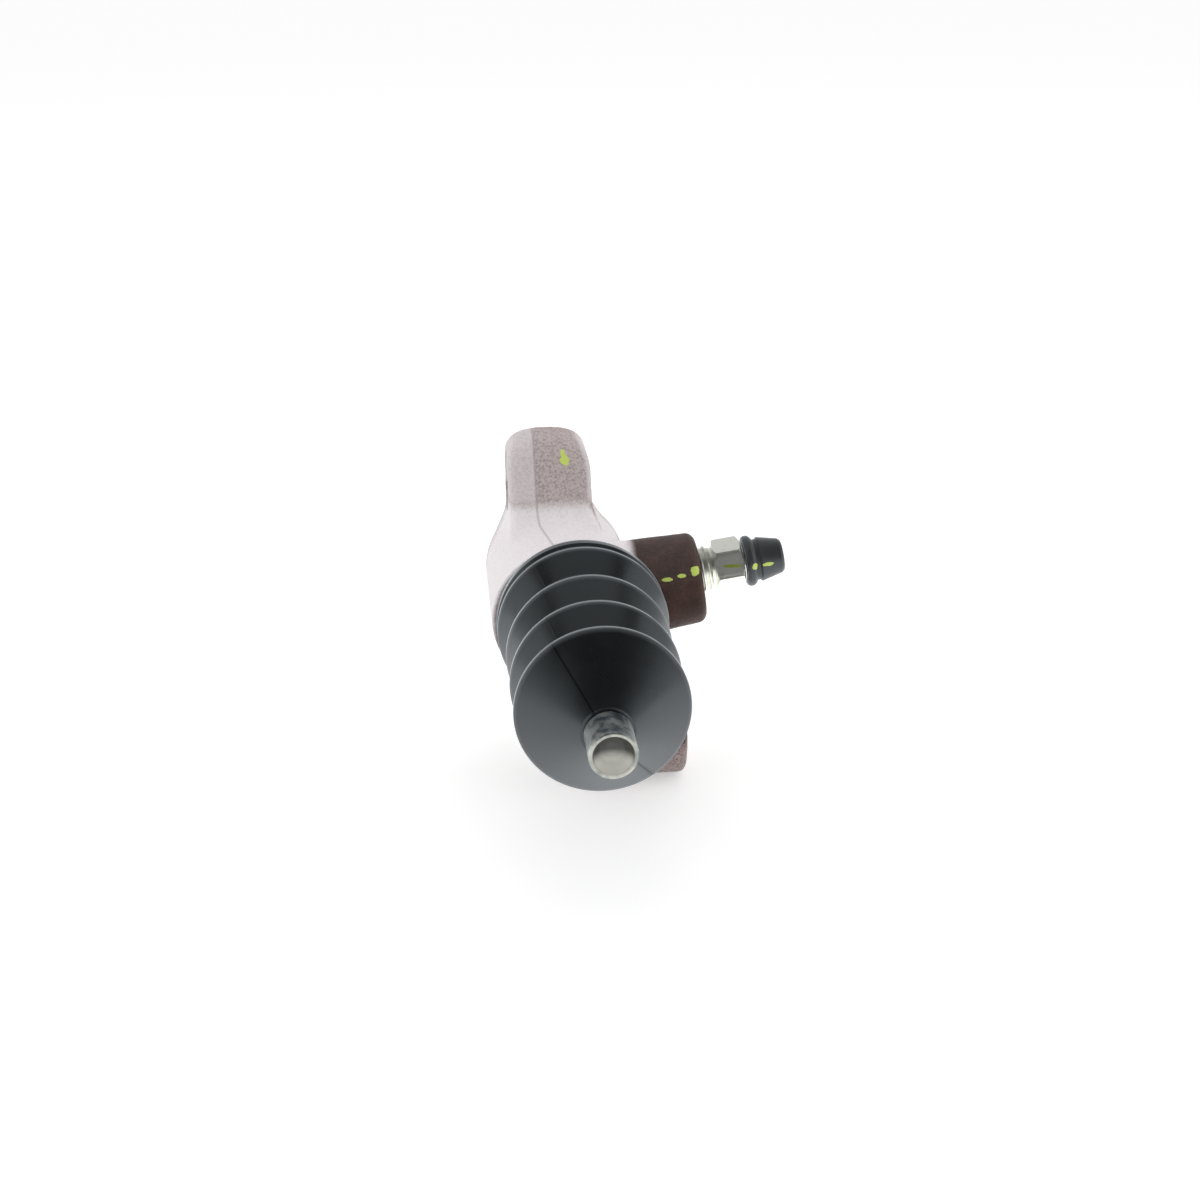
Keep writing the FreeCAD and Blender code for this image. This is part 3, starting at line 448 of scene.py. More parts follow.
@dataclass(frozen=True)
class CastIron:
    """Sand-cast iron under a thin reddish-brown coat, paler on top by painted light, bright where
    machined.

    Attributes:
        dark: Deepest colour of the coat, also in the grain's pits.
        brown: Lighter colour of the coat.
        mauve_and_painted_light: Pale pinkish colour, painted light on the ear and the up-facing
            shoulder, also on the lug's foot.
        painted_glare: Near-white painted glare on the front of the shoulder.
        line: Colour along the mould's parting line.
        steel: Bare machined iron.
        light_from: Direction from which the painted light and glare fall.
        right_edge: Where the painted light on top ends across to the right, and where it is whole.
        foot_edge: Heights between which the lug's foot turns pale.
        ear_edge: Heights between which the ear turns pale pinkish with painted light.
        thin_edge: Heights over which the painted glare thins out on the ear.
        rear_edge: Where the painted glare ends along the barrel, and where it is whole.
        low_edge: Heights between which the painted glare starts.
        left_edge: Parting line on the ear, left of which the ear gets lighter with painted glare.
        line_start: Where the parting line on the barrel begins to bend.
        line_bend: How much it bends to the right for each millimetre to the front.
        port_end: Place behind which the port's end is machined.
        boss_end: Distance along the bleed screw beyond which the boss is machined.
        marks: Dabs of inspection paint.
    """

    dark: Three = (0.034, 0.014, 0.009)
    brown: Three = (0.074, 0.030, 0.020)
    mauve_and_painted_light: Three = (0.56, 0.45, 0.43)
    painted_glare: Three = (0.95, 0.90, 0.92)
    line: Three = (0.46, 0.39, 0.39)
    steel: Three = (0.55, 0.54, 0.52)
    light_from: Three = (-0.34, 0.0, 0.94)
    right_edge: tuple[float, float] = (12.8, 10.4)
    foot_edge: tuple[float, float] = (-22.0, -28.0)
    ear_edge: tuple[float, float] = (19.0, 24.0)
    thin_edge: tuple[float, float] = (22.3, 25.3)
    rear_edge: tuple[float, float] = (17.0, 7.0)
    low_edge: tuple[float, float] = (-15.0, -9.0)
    left_edge: tuple[float, float] = (-7.4, -7.8)
    line_start: float = -2.3
    line_bend: float = 0.14
    port_end: float = 25.9
    boss_end: float = 26.85
    marks: tuple[PaintMark, ...] = (
        PaintMark((-1.1, 3.2, 32.3), (0.95, 3.0, 0.95)),
        PaintMark((-1.5, 4.0, 33.6), (0.45, 3.0, 0.75)),
        PaintMark((18.6, -17.0, 11.5), (1.2, 2.0, 0.42)),
        PaintMark((21.6, -17.0, 12.1), (0.9, 2.0, 0.40)),
        PaintMark((24.5, -16.6, 12.9), (0.9, 2.0, 0.95)))

    def machined(self, shader: Shader) -> bpy.types.NodeSocket:
        """One on the port's end and the boss face, zero elsewhere.

        Args:
            shader: Material that the mask is for.

        Returns:
            The mask.
        """
        port = shader.math("GREATER_THAN", shader.along(AHEAD), self.port_end * MM)
        boss_end = (self.boss_end + AXIS_HEIGHT * BLEED.along[2]) * MM
        face = shader.math("GREATER_THAN", shader.along(BLEED.along), boss_end)
        return shader.math("MAXIMUM", port, face)

    def parting(self, shader: Shader) -> bpy.types.NodeSocket:
        """One along the mould's parting line down the ear and over the barrel, zero beside it.

        The line lies at the middle of left_edge, and in front of line_start it moves to the
        right by line_bend times the distance.
        """
        middle, halo, core, lowest = 0.5 * sum(self.left_edge), 0.34, 0.12, 12.0
        bend = shader.math("MULTIPLY_ADD", shader.along(AHEAD), -self.line_bend,
                           self.line_bend * self.line_start * MM)
        off = shader.math("SUBTRACT", shader.math("ADD", shader.along(RIGHT), -middle * MM),
                          shader.math("MAXIMUM", bend, 0.0))
        mask = shader.edge(shader.math("ABSOLUTE", off), (halo, core))
        above = shader.math("GREATER_THAN", shader.along(UP), lowest * MM)
        return shader.math("MULTIPLY", mask, above)

    def painted_glare_share(self, shader: Shader, upward: bpy.types.NodeSocket, grain: bpy.types.NodeSocket,
             barrel: bpy.types.NodeSocket) -> bpy.types.NodeSocket:
        """Share of the painted glare: whole on the front of the shoulder, thin on the ear's sides
        and left.

        Args:
            shader: Material that the mask is for.
            upward: How far the surface faces the painted light.
            grain: Noise of the sand grain, which the painted glare leaves open.
            barrel: One left of the bleed boss.

        Returns:
            The mask.
        """
        height = shader.along(UP)
        # Painted reflection on the ear's sides, which are seen at a grazing angle.
        sides = shader.math("ABSOLUTE", shader.vector("DOT_PRODUCT", shader.facing, RIGHT))
        sides = shader.spread(sides, 0.20, 0.75, 0.0, 0.6)
        ear = shader.edge(height, self.thin_edge)
        left = shader.edge(shader.along(RIGHT), self.left_edge, 0.0, 0.55)
        lit = shader.math("MULTIPLY", left, ear)
        shoulder = shader.chain(
            "MULTIPLY", shader.spread(upward, -0.10, 0.28), barrel,
            shader.edge(shader.along(AHEAD), self.rear_edge, 0.15, 1.0),
            shader.edge(height, self.low_edge, 0.1, 1.0),
            shader.spread(grain, 0.70, 0.45, 0.80, 0.98),
            shader.math("MULTIPLY_ADD", ear, -0.75, 1.0))
        return shader.chain("MAXIMUM", shoulder, lit, shader.math("MULTIPLY", sides, ear))

    def material(self) -> bpy.types.Material:
        """Make the material."""
        shader = Shader("cast_iron_brown")
        blotch = shader.noise(0.22, 5.0)
        grain = shader.noise(1.9, 7.0, 0.72)
        fine = shader.noise(4.5, 3.0, 0.6)
        coat = shader.mix(shader.spread(blotch, 0.3, 0.7), self.dark, self.brown)
        # Painted light: how far the surface faces up towards the light, broken up by noise.
        upward = shader.vector("DOT_PRODUCT", shader.facing, self.light_from)
        upward = shader.math("ADD", upward, shader.math("MULTIPLY_ADD", blotch, 0.2, -0.1))
        barrel = shader.edge(shader.along(RIGHT), self.right_edge, 0.03, 1.0)
        # Painted light: up-facing surfaces left of the boss and the ear turn pale pinkish; the
        # lug's foot turns pale too.
        pale = shader.chain(
            "MAXIMUM",
            shader.math("MULTIPLY", shader.spread(upward, -0.20, 0.20, 0.0, 0.9), barrel),
            shader.edge(shader.along(UP), self.foot_edge, 0.0, 0.95),
            shader.edge(shader.along(UP), self.ear_edge, 0.0, 0.9))
        coat = shader.mix(pale, coat, self.mauve_and_painted_light)
        coat = shader.mix(shader.spread(grain, 0.42, 0.64, 0.0, 0.68), coat, self.dark)
        # Painted glare: near-white on the front of the shoulder and on the ear's left and sides.
        coat = shader.mix(self.painted_glare_share(shader, upward, grain, barrel), coat, self.painted_glare)
        coat = shader.mix(shader.math("MULTIPLY", self.parting(shader), 0.5), coat, self.line)
        coat = shader.dab(coat, self.marks, 0.9)
        bare = self.machined(shader)
        cast = shader.math("MULTIPLY_ADD", fine, 0.35, grain)
        depth = shader.math("MULTIPLY", cast, shader.math("MULTIPLY_ADD", bare, -0.9, 1.0))
        shader.set(Base_Color=shader.mix(bare, coat, self.steel), Metallic=bare,
                   Specular_IOR_Level=0.25, Normal=shader.bump(depth, 0.22),
                   Roughness=shader.math("MULTIPLY_ADD", bare, -0.2, 0.55))
        return shader.material


@dataclass(frozen=True)
class Rubber:
    """Moulded black rubber with a satin skin.

    Attributes:
        name: Name of the material.
        deep: Darkest colour.
        dusty: Lighter colour of the skin.
        sheen_rough: Roughness of the skin.
        worn_highlight: How strongly the mesh's own layers lighten the crests, partly scuffed rubber
            and partly a painted highlight, and darken the seam with painted shade.
        rubbed_highlight: Colour of a crest, scuffed and with a painted highlight.
        seam_shade: Colour of the painted shade along the seam.
        gloss: Strength of the reflection, which falls off in the seam.
        marks: Dabs of paint.
    """

    name: str
    deep: Three = (0.003, 0.004, 0.005)
    dusty: Three = (0.006, 0.008, 0.009)
    sheen_rough: float = 0.30
    worn_highlight: float = 0.0
    rubbed_highlight: Three = (0.16, 0.17, 0.18)
    seam_shade: Three = (0.002, 0.002, 0.002)
    gloss: float = 0.7
    marks: tuple[PaintMark, ...] = ()

    def material(self) -> bpy.types.Material:
        """Make the material."""
        shader = Shader(self.name)
        film = shader.noise(0.12, 5.0)
        skin = shader.mix(shader.spread(film, 0.3, 0.75), self.deep, self.dusty)
        shader.set(Specular_IOR_Level=self.gloss, Specular_Tint=(0.86, 0.94, 1.0, 1.0),
                   Sheen_Weight=0.6, Sheen_Roughness=0.35, Sheen_Tint=(0.82, 0.93, 1.0, 1.0))
        # Painted highlight on the crests, partly scuffed rubber, and painted shade along the seam,
        # where the reflection also falls off.
        if self.worn_highlight > 0.0:
            patchy = shader.spread(film, 0.1, 0.6, 0.5, self.worn_highlight)
            crest = shader.math("MULTIPLY", shader.layer("worn_highlight"), patchy)
            seam = shader.layer("seam")
            skin = shader.mix(crest, skin, self.rubbed_highlight)
            skin = shader.mix(shader.math("MULTIPLY", seam, 0.8), skin, self.seam_shade)
            shader.set(Specular_IOR_Level=shader.math("MULTIPLY_ADD", seam, -0.5, self.gloss))
        rough = shader.spread(film, 0.2, 0.8, self.sheen_rough - 0.05, self.sheen_rough + 0.08)
        shader.set(Base_Color=shader.dab(skin, self.marks, 1.1), Roughness=rough,
                   Normal=shader.bump(shader.noise(2.5, 3.0), 0.006))
        return shader.material


@dataclass(frozen=True)
class Metal:
    """Plated, turned or drawn metal with mottled plating.

    Attributes:
        name: Name of the material.
        light: Main colour.
        stain: Colour of the blotches.
        amount: How much of the surface the blotches take, 0 to 1.
        roughness: Mean roughness.
        marks: Dabs of paint.
        hollow: The cup round the cylinder axis in front of this place is chalky; zero for none.
    """

    name: str
    light: Three
    stain: Three
    amount: float = 0.4
    roughness: float = 0.4
    marks: tuple[PaintMark, ...] = ()
    hollow: float = 0.0

    def chalk(self, shader: Shader, plate: bpy.types.NodeSocket,
              share: bpy.types.NodeSocket) -> bpy.types.NodeSocket:
        """Lay chalky residue into the cup, with a painted highlight on its rim and painted shade in
        its upper half.

        Args:
            shader: Material that it is for; its metallic share falls where the chalk lies.
            plate: Colour of the plating.
            share: Mask of the plating's blotches.

        Returns:
            The colour with the chalk.
        """
        white, rim_highlight, rim_highlight_dark = (0.96, 0.95, 0.87), (0.70, 0.70, 0.63), (0.42, 0.43, 0.40)
        painted_shade_color, mouth, rim_edge = (0.035, 0.040, 0.035), (4.40, 4.20), (3.55, 3.75)
        painted_shade_heights, painted_shade_edge = (-2.0, 0.1), (3.9, 3.6)
        off = shader.vector("SUBTRACT", shader.place, (0.0, 0.0, AXIS_HEIGHT * MM))
        across = shader.vector("MULTIPLY", off, (1.0, 0.0, 1.0))
        radius = shader.vector("DISTANCE", across, (0.0, 0.0, 0.0))
        inside = shader.math("LESS_THAN", shader.along(AHEAD), self.hollow * MM)
        chalk = shader.math("MULTIPLY", inside, shader.edge(radius, mouth))
        height = shader.vector("DOT_PRODUCT", off, UP)
        # Painted shade: the upper half of the cup darkens.
        painted_shade = shader.math("MULTIPLY", shader.edge(height, painted_shade_heights, 0.0, 0.95),
                            shader.edge(radius, painted_shade_edge))
        # Painted highlight on the cup's rim, blotched like the plating.
        rim = shader.edge(radius, rim_edge)
        pale = shader.mix(rim, white, shader.mix(share, rim_highlight, rim_highlight_dark))
        shader.set(Metallic=shader.math("MULTIPLY_ADD", chalk, -0.95, 1.0))
        return shader.mix(chalk, plate, shader.mix(painted_shade, pale, painted_shade_color))

    def material(self) -> bpy.types.Material:
        """Make the material."""
        shader = Shader(self.name)
        shader.set(Metallic=1.0)
        fine = shader.noise(3.0, 4.0)
        share = shader.spread(shader.noise(0.35, 6.0, 0.6),
                              0.62 - 0.3 * self.amount, 0.78 - 0.2 * self.amount)
        plate = shader.dab(shader.mix(share, self.light, self.stain), self.marks, 1.1)
        if self.hollow != 0.0:
            plate = self.chalk(shader, plate, share)
        rough = shader.spread(fine, 0.25, 0.75, self.roughness - 0.04, self.roughness + 0.06)
        shader.set(Base_Color=plate, Roughness=rough, Normal=shader.bump(fine, 0.0012))
        return shader.material


def dress(piece: bpy.types.Object, material: bpy.types.Material) -> None:
    """Give a piece one material all over."""
    piece.data.materials.clear()
    piece.data.materials.append(material)


def seat(piece: bpy.types.Object, body: Body, slot: str, *nodes: str) -> bpy.types.Object:
    """Let a piece ride on a body and hide the nodes that it stands for.

    Args:
        piece: The piece.
        body: Body that carries it.
        slot: Not used.
        nodes: Nodes that it replaces.

    Returns:
        The piece.
    """
    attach(piece, body.value)
    if nodes:
        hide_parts(*nodes)
    return piece


@dataclass
class Boot:
    """Rubber bellows with four crests, from the housing's seat to the rod's groove.

    Attributes:
        crests: Places of the crests along the cylinder, front to rear.
        crest_radius: Radius of the three front crests.
        rear_radius: Radius of the rear crest and the collar.
        valleys: Radii of the valleys between the crests.
        wall: Thickness of the rubber.
        land: Half the flat width of a crest.
        crest_round: Rounding of a crest's edges.
        fold_round: Rounding of a valley.
        seam: Angle of the mould's parting line, degrees.
        seam_rise: How far the parting line stands proud on the front cone.
        seam_width: Half width of its ridge.
        mark_width: Half width of the band of painted shade along it.
        columns: Points round the boot besides those close to the seam.
    """

    crests: tuple[float, ...] = (-66.5, -53.5, -39.7, -26.6)
    crest_radius: float = 16.6
    rear_radius: float = 17.7
    valleys: tuple[float, ...] = (13.2, 13.6, 14.0)
    wall: float = 1.25
    land: float = 0.4
    crest_round: float = 0.42
    fold_round: float = 1.3
    seam: float = 124.0
    seam_rise: float = 0.07
    seam_width: float = 0.14
    mark_width: float = 0.34
    columns: int = 256

    def profile(self) -> np.ndarray:
        """Closed line round the rubber wall: outside to the rear, inside back to the neck."""
        spacing, soft, fold = 0.75, self.crest_round, self.fold_round
        outer = [(4.75, -76.4, 0.1), (5.1, -76.3, 0.3)]
        for here, place in enumerate(self.crests[:3]):
            middle = 0.5 * (place + self.crests[here + 1])
            outer += [(self.crest_radius, place - self.land, soft),
                      (self.crest_radius, place + self.land, soft),
                      (self.valleys[here], middle - 0.5, fold),
                      (self.valleys[here], middle + 0.5, fold)]
        rear = self.crests[3]
        outer += [(self.rear_radius, rear - self.land, soft),
                  (self.rear_radius, rear + self.land, soft), (17.1, -25.3, 0.5),
                  (17.15, -24.4, 0.4), (17.7, -23.8, 0.35), (17.7, -21.9, 0.6), (16.9, -21.2, 0.3)]
        inner = [(15.65, -21.2, 0.2), (15.65, -22.65, 0.1), (14.35, -22.65, 0.1),
                 (14.35, -25.75, 0.1), (15.65, -25.75, 0.1), (15.65, -28.05, 0.3)]
        for here in (2, 1, 0):
            middle = 0.5 * (self.crests[here] + self.crests[here + 1])
            inner += [(self.valleys[here] - self.wall, middle, fold),
                      (self.crest_radius - self.wall, self.crests[here], soft)]
        neck = [(5.6, -72.2, 0.6), (3.96, -72.3, 0.1), (3.96, -76.4, 0.1), (4.2, -76.4, 0.1)]
        return rounded(outer + inner + neck, spacing)

    def turns(self) -> np.ndarray:
        """Angles round the boot, closer together at both sides of the mould's parting line."""
        seam, cleared = math.radians(self.seam), math.radians(2.0)
        close = np.radians([-1.6, -1.1, -0.7, -0.4, -0.2, 0.0, 0.2, 0.4, 0.7, 1.1, 1.6])
        turn = full_turn(self.columns)
        sides = np.array([seam, seam + math.pi])
        away = np.abs((turn[:, None] - sides + math.pi) % (2 * math.pi) - math.pi)
        turn = turn[away.min(axis=1) > cleared]
        return np.sort(np.r_[turn, seam + close, (seam + math.pi + close) % (2 * math.pi)])

    def build(self) -> bpy.types.Object:
        """Make the bellows, with a fine ridge along the mould's parting line.

        The radius is the profile's plus seam_rise times exp(-(a / seam_width)^2), where a is
        the arc from the seam, on the outer side only and a quarter as high behind the front
        crest. The mesh keeps two layers, each between 0 and 1: worn_highlight on the crests,
        partly scuffed rubber and partly a painted highlight, and seam along the parting line,
        for painted shade.
        """
        bead_end, front_gap, crest_width = -21.25, 0.6, 0.55
        line, turn = self.profile(), self.turns()
        shape = (len(line), len(turn))
        radius, far = (np.broadcast_to(line[:, k:k + 1], shape) for k in (0, 1))
        off = np.abs(np.sin(turn - math.radians(self.seam)))[None, :]
        outside = np.arange(len(line)) < int(np.argmax(line[:, 1] >= bead_end))
        front = outside & (line[:, 1] < self.crests[0] - front_gap)
        ridge = self.seam_rise * np.exp(-(off * radius / self.seam_width) ** 2)
        radius = radius + ridge * np.where(front, 1.0, 0.25 * outside)[:, None]
        piece = turned("boot_bellows", CYLINDER, far, radius, turn, loop=True, sharp=60.0)
        # Painted highlight on the crests, partly scuffed rubber.
        near = np.abs(line[:, 1:2] - np.array(self.crests)).min(axis=1)
        worn_highlight = np.broadcast_to((np.exp(-(near / crest_width) ** 4) * outside)[:, None], shape)
        # Painted shade along the mould's parting line.
        mark = np.exp(-(off * radius / self.mark_width) ** 2)
        mark = mark * np.where(front, 1.0, 0.2 * outside)[:, None]
        for name, share in (("worn_highlight", worn_highlight), ("seam", mark)):
            layer = piece.data.attributes.new(name, "FLOAT", "POINT")
            layer.data.foreach_set("value", np.ascontiguousarray(share, dtype=np.float32).ravel())
        dress(piece, Rubber("boot_rubber", worn_highlight=0.8).material())
        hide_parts("boot")
        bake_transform(piece)
        return piece


@dataclass
class Pushrod:
    """Zinc plated rod with a round inner nose and a hollow cup at its outer end.

    Attributes:
        radius: Radius of the rod.
        groove: Radius of the groove that holds the boot's neck.
        tip: Place of the outer end.
        depth: Depth of the cup in that end.
        columns: Points round the rod.
    """

    radius: float = 4.5
    groove: float = 3.9
    tip: float = -86.0
    depth: float = 3.4
    columns: int = 144

    def build(self) -> bpy.types.Object:
        """Make the rod, from its inner nose along the outside and into the cup."""
        line = rounded([
            (0.02, -28.62, 0.0), (2.4, -28.62, 0.3), (3.8, -29.5, 1.2), (self.radius, -31.0, 1.5),
            (self.radius, -71.9, 0.1), (self.groove, -72.2, 0.1), (self.groove, -76.45, 0.1),
            (self.radius, -76.9, 0.1), (self.radius, self.tip, 0.5), (3.75, self.tip, 0.25),
            (3.45, self.tip + 1.5, 1.5), (2.4, self.tip + 2.8, 1.5),
            (1.2, self.tip + self.depth - 0.1, 1.0), (0.02, self.tip + self.depth, 0.0)], 0.5)
        piece = lathe("pushrod_plated", CYLINDER, line, self.columns, sharp=50.0)
        finish = Metal("zinc_dull", (0.46, 0.48, 0.46), (0.11, 0.14, 0.16), 0.7, 0.42,
                       hollow=self.tip + self.depth + 0.2)
        dress(piece, finish.material())
        return seat(piece, Body.PISTON, "rod_zinc", "pushrod")


@dataclass
class BleedScrew:
    """Bleed screw with a cone tip, a rolled thread, a hexagon and a barbed nipple.

    Attributes:
        thread: Outer radius of the thread.
        root: Radius at the bottom of the thread.
        pitch: Distance from one turn of the thread to the next.
        flats: Width of the hexagon across its flats.
        hex_start: Distance along the screw to the hexagon's inner face.
        hex_end: Distance to its outer face.
        chamfer: Radius of the hexagon's end faces, where the cones that cut its corners start.
        turn_up: Turn of the whole screw round its axis, degrees.
        columns: Points round the screw.
    """

    thread: float = 4.98
    root: float = 4.35
    pitch: float = 1.25
    flats: float = 10.0
    hex_start: float = 30.0
    hex_end: float = 36.3
    chamfer: float = 4.78
    turn_up: float = -10.0
    columns: int = 144

    def thread_rows(self) -> tuple[np.ndarray, np.ndarray]:
        """Threaded length: the radius falls by a rounded tooth once each pitch along a helix.

        The tooth's height is (cos^2 of pi times (distance / pitch - angle / full turn)) raised
        to a blunting power.
        """
        start, stop, rows, blunting = 17.4, 29.35, 10, 0.8
        far = np.arange(start, stop, self.pitch / rows)[:, None]
        share = far / self.pitch - full_turn(self.columns)[None, :] / (2 * math.pi)
        height = np.cos(math.pi * share) ** 2
        radius = self.root + (self.thread - self.root) * height ** blunting
        return np.broadcast_to(far, radius.shape), radius

    def hex_rows(self) -> tuple[np.ndarray, np.ndarray]:
        """Hexagon: flats / 2 divided by the cosine of the angle from the nearest flat.

        A cone from each end face, rising by its steepness each millimetre, cuts the corners.
        """
        ends, steepness = np.array([0.0, 0.12, 0.25, 0.4, 0.6]), 1.73
        far = np.r_[self.hex_start + ends, self.hex_end - ends[::-1]][:, None]
        start = math.radians(-90.0)
        angle = (full_turn(self.columns) - start + math.pi / 6) % (math.pi / 3) - math.pi / 6
        flat = 0.5 * self.flats / np.cos(angle)[None, :]
        depth = np.minimum(far - self.hex_start, self.hex_end - far)
        radius = np.minimum(flat, self.chamfer + steepness * depth)
        return np.broadcast_to(far, (len(far), self.columns)), radius

    def build(self) -> bpy.types.Object:
        """Make the screw in one surface from its tip to the mouth of its bore."""
        def rows(profile: np.ndarray) -> tuple[np.ndarray, np.ndarray]:
            """Spread a plain profile over all columns."""
            shape = (len(profile), self.columns)
            return np.broadcast_to(profile[:, 1:2], shape), np.broadcast_to(profile[:, 0:1], shape)

        tip = rows(rounded([
            (0.4, 14.0, 0.0), (1.8, 14.0, 0.2), (4.6, 17.2, 0.3), (4.6, 17.35, 0.0)], 0.6))
        neck = rows(rounded([(4.2, 29.4, 0.0), (4.2, 29.99, 0.0)], 0.3))
        nipple = rows(rounded([
            (4.2, 36.31, 0.0), (4.2, 36.7, 0.15), (2.7, 36.7, 0.3), (2.7, 40.25, 0.3),
            (3.2, 40.45, 0.15), (2.4, 43.25, 0.25), (1.1, 43.25, 0.15), (1.1, 40.0, 0.0),
            (0.1, 39.8, 0.0)], 0.5))
        parts = (tip, self.thread_rows(), neck, self.hex_rows(), nipple)
        far = np.concatenate([part[0] for part in parts])
        radius = np.concatenate([part[1] for part in parts])
        turn = full_turn(self.columns) - math.radians(self.turn_up)
        piece = turned("bleed_screw_plated", BLEED, far, radius, turn, sharp=28.0)
        finish = Metal("zinc_bright", (0.86, 0.87, 0.80), (0.55, 0.59, 0.52), 0.3, 0.34,
                       marks=(PaintMark((32.8, -13.7, 12.6), (1.9, 1.2, 0.35)),))
        dress(piece, finish.material())
        return seat(piece, Body.SCREW, "screw_zinc", "bleed_screw")


@dataclass
class BleedCap:
    """Rubber cap with a flange, a groove and a cone.

    Attributes:
        columns: Points round the cap.
    """

    columns: int = 128

    def build(self) -> bpy.types.Object:
        """Make the cap: hollow from its mouth inwards, then the outside."""
        line = rounded([
            (0.05, 43.4, 0.0), (3.35, 43.4, 0.3), (3.35, 36.85, 0.15), (5.15, 36.85, 0.25),
            (5.45, 37.35, 0.3), (5.45, 38.15, 0.35), (4.95, 38.75, 0.2), (4.4, 39.05, 0.25),
            (4.4, 39.75, 0.25), (4.8, 40.05, 0.25), (3.75, 44.45, 0.3), (3.3, 45.05, 0.5),
            (2.6, 45.15, 0.3), (0.05, 45.15, 0.0)], 0.4)
        piece = lathe("bleed_cap_moulded", BLEED, line, self.columns, sharp=50.0)
        marks = (PaintMark((37.8, -14.0, 12.4), (0.75, 1.3, 0.65)),
                 PaintMark((40.7, -13.3, 12.5), (1.25, 1.3, 0.42)))
        finish = Rubber("cap_rubber", (0.018, 0.019, 0.020), (0.042, 0.044, 0.045), 0.45,
                        marks=marks)
        dress(piece, finish.material())
        return seat(piece, Body.CAP, "cap_rubber", "bleed_cap")


def meet(first: np.ndarray, second: np.ndarray, radius: float) -> np.ndarray:
    """Signed distance of the overlap of two solids, its edge rounded with a radius.

    Both distances are raised by the radius; where both are positive their hypotenuse counts,
    elsewhere the larger, and the radius is taken off again.
    """
    one, two = first + radius, second + radius
    outside = np.hypot(np.maximum(one, 0.0), np.maximum(two, 0.0))
    return np.minimum(np.maximum(one, two), 0.0) + outside - radius


def join(first: np.ndarray, second: np.ndarray, radius: float) -> np.ndarray:
    """Signed distance of two solids joined with a fillet: the overlap rule on the outside."""
    return -meet(-first, -second, radius)


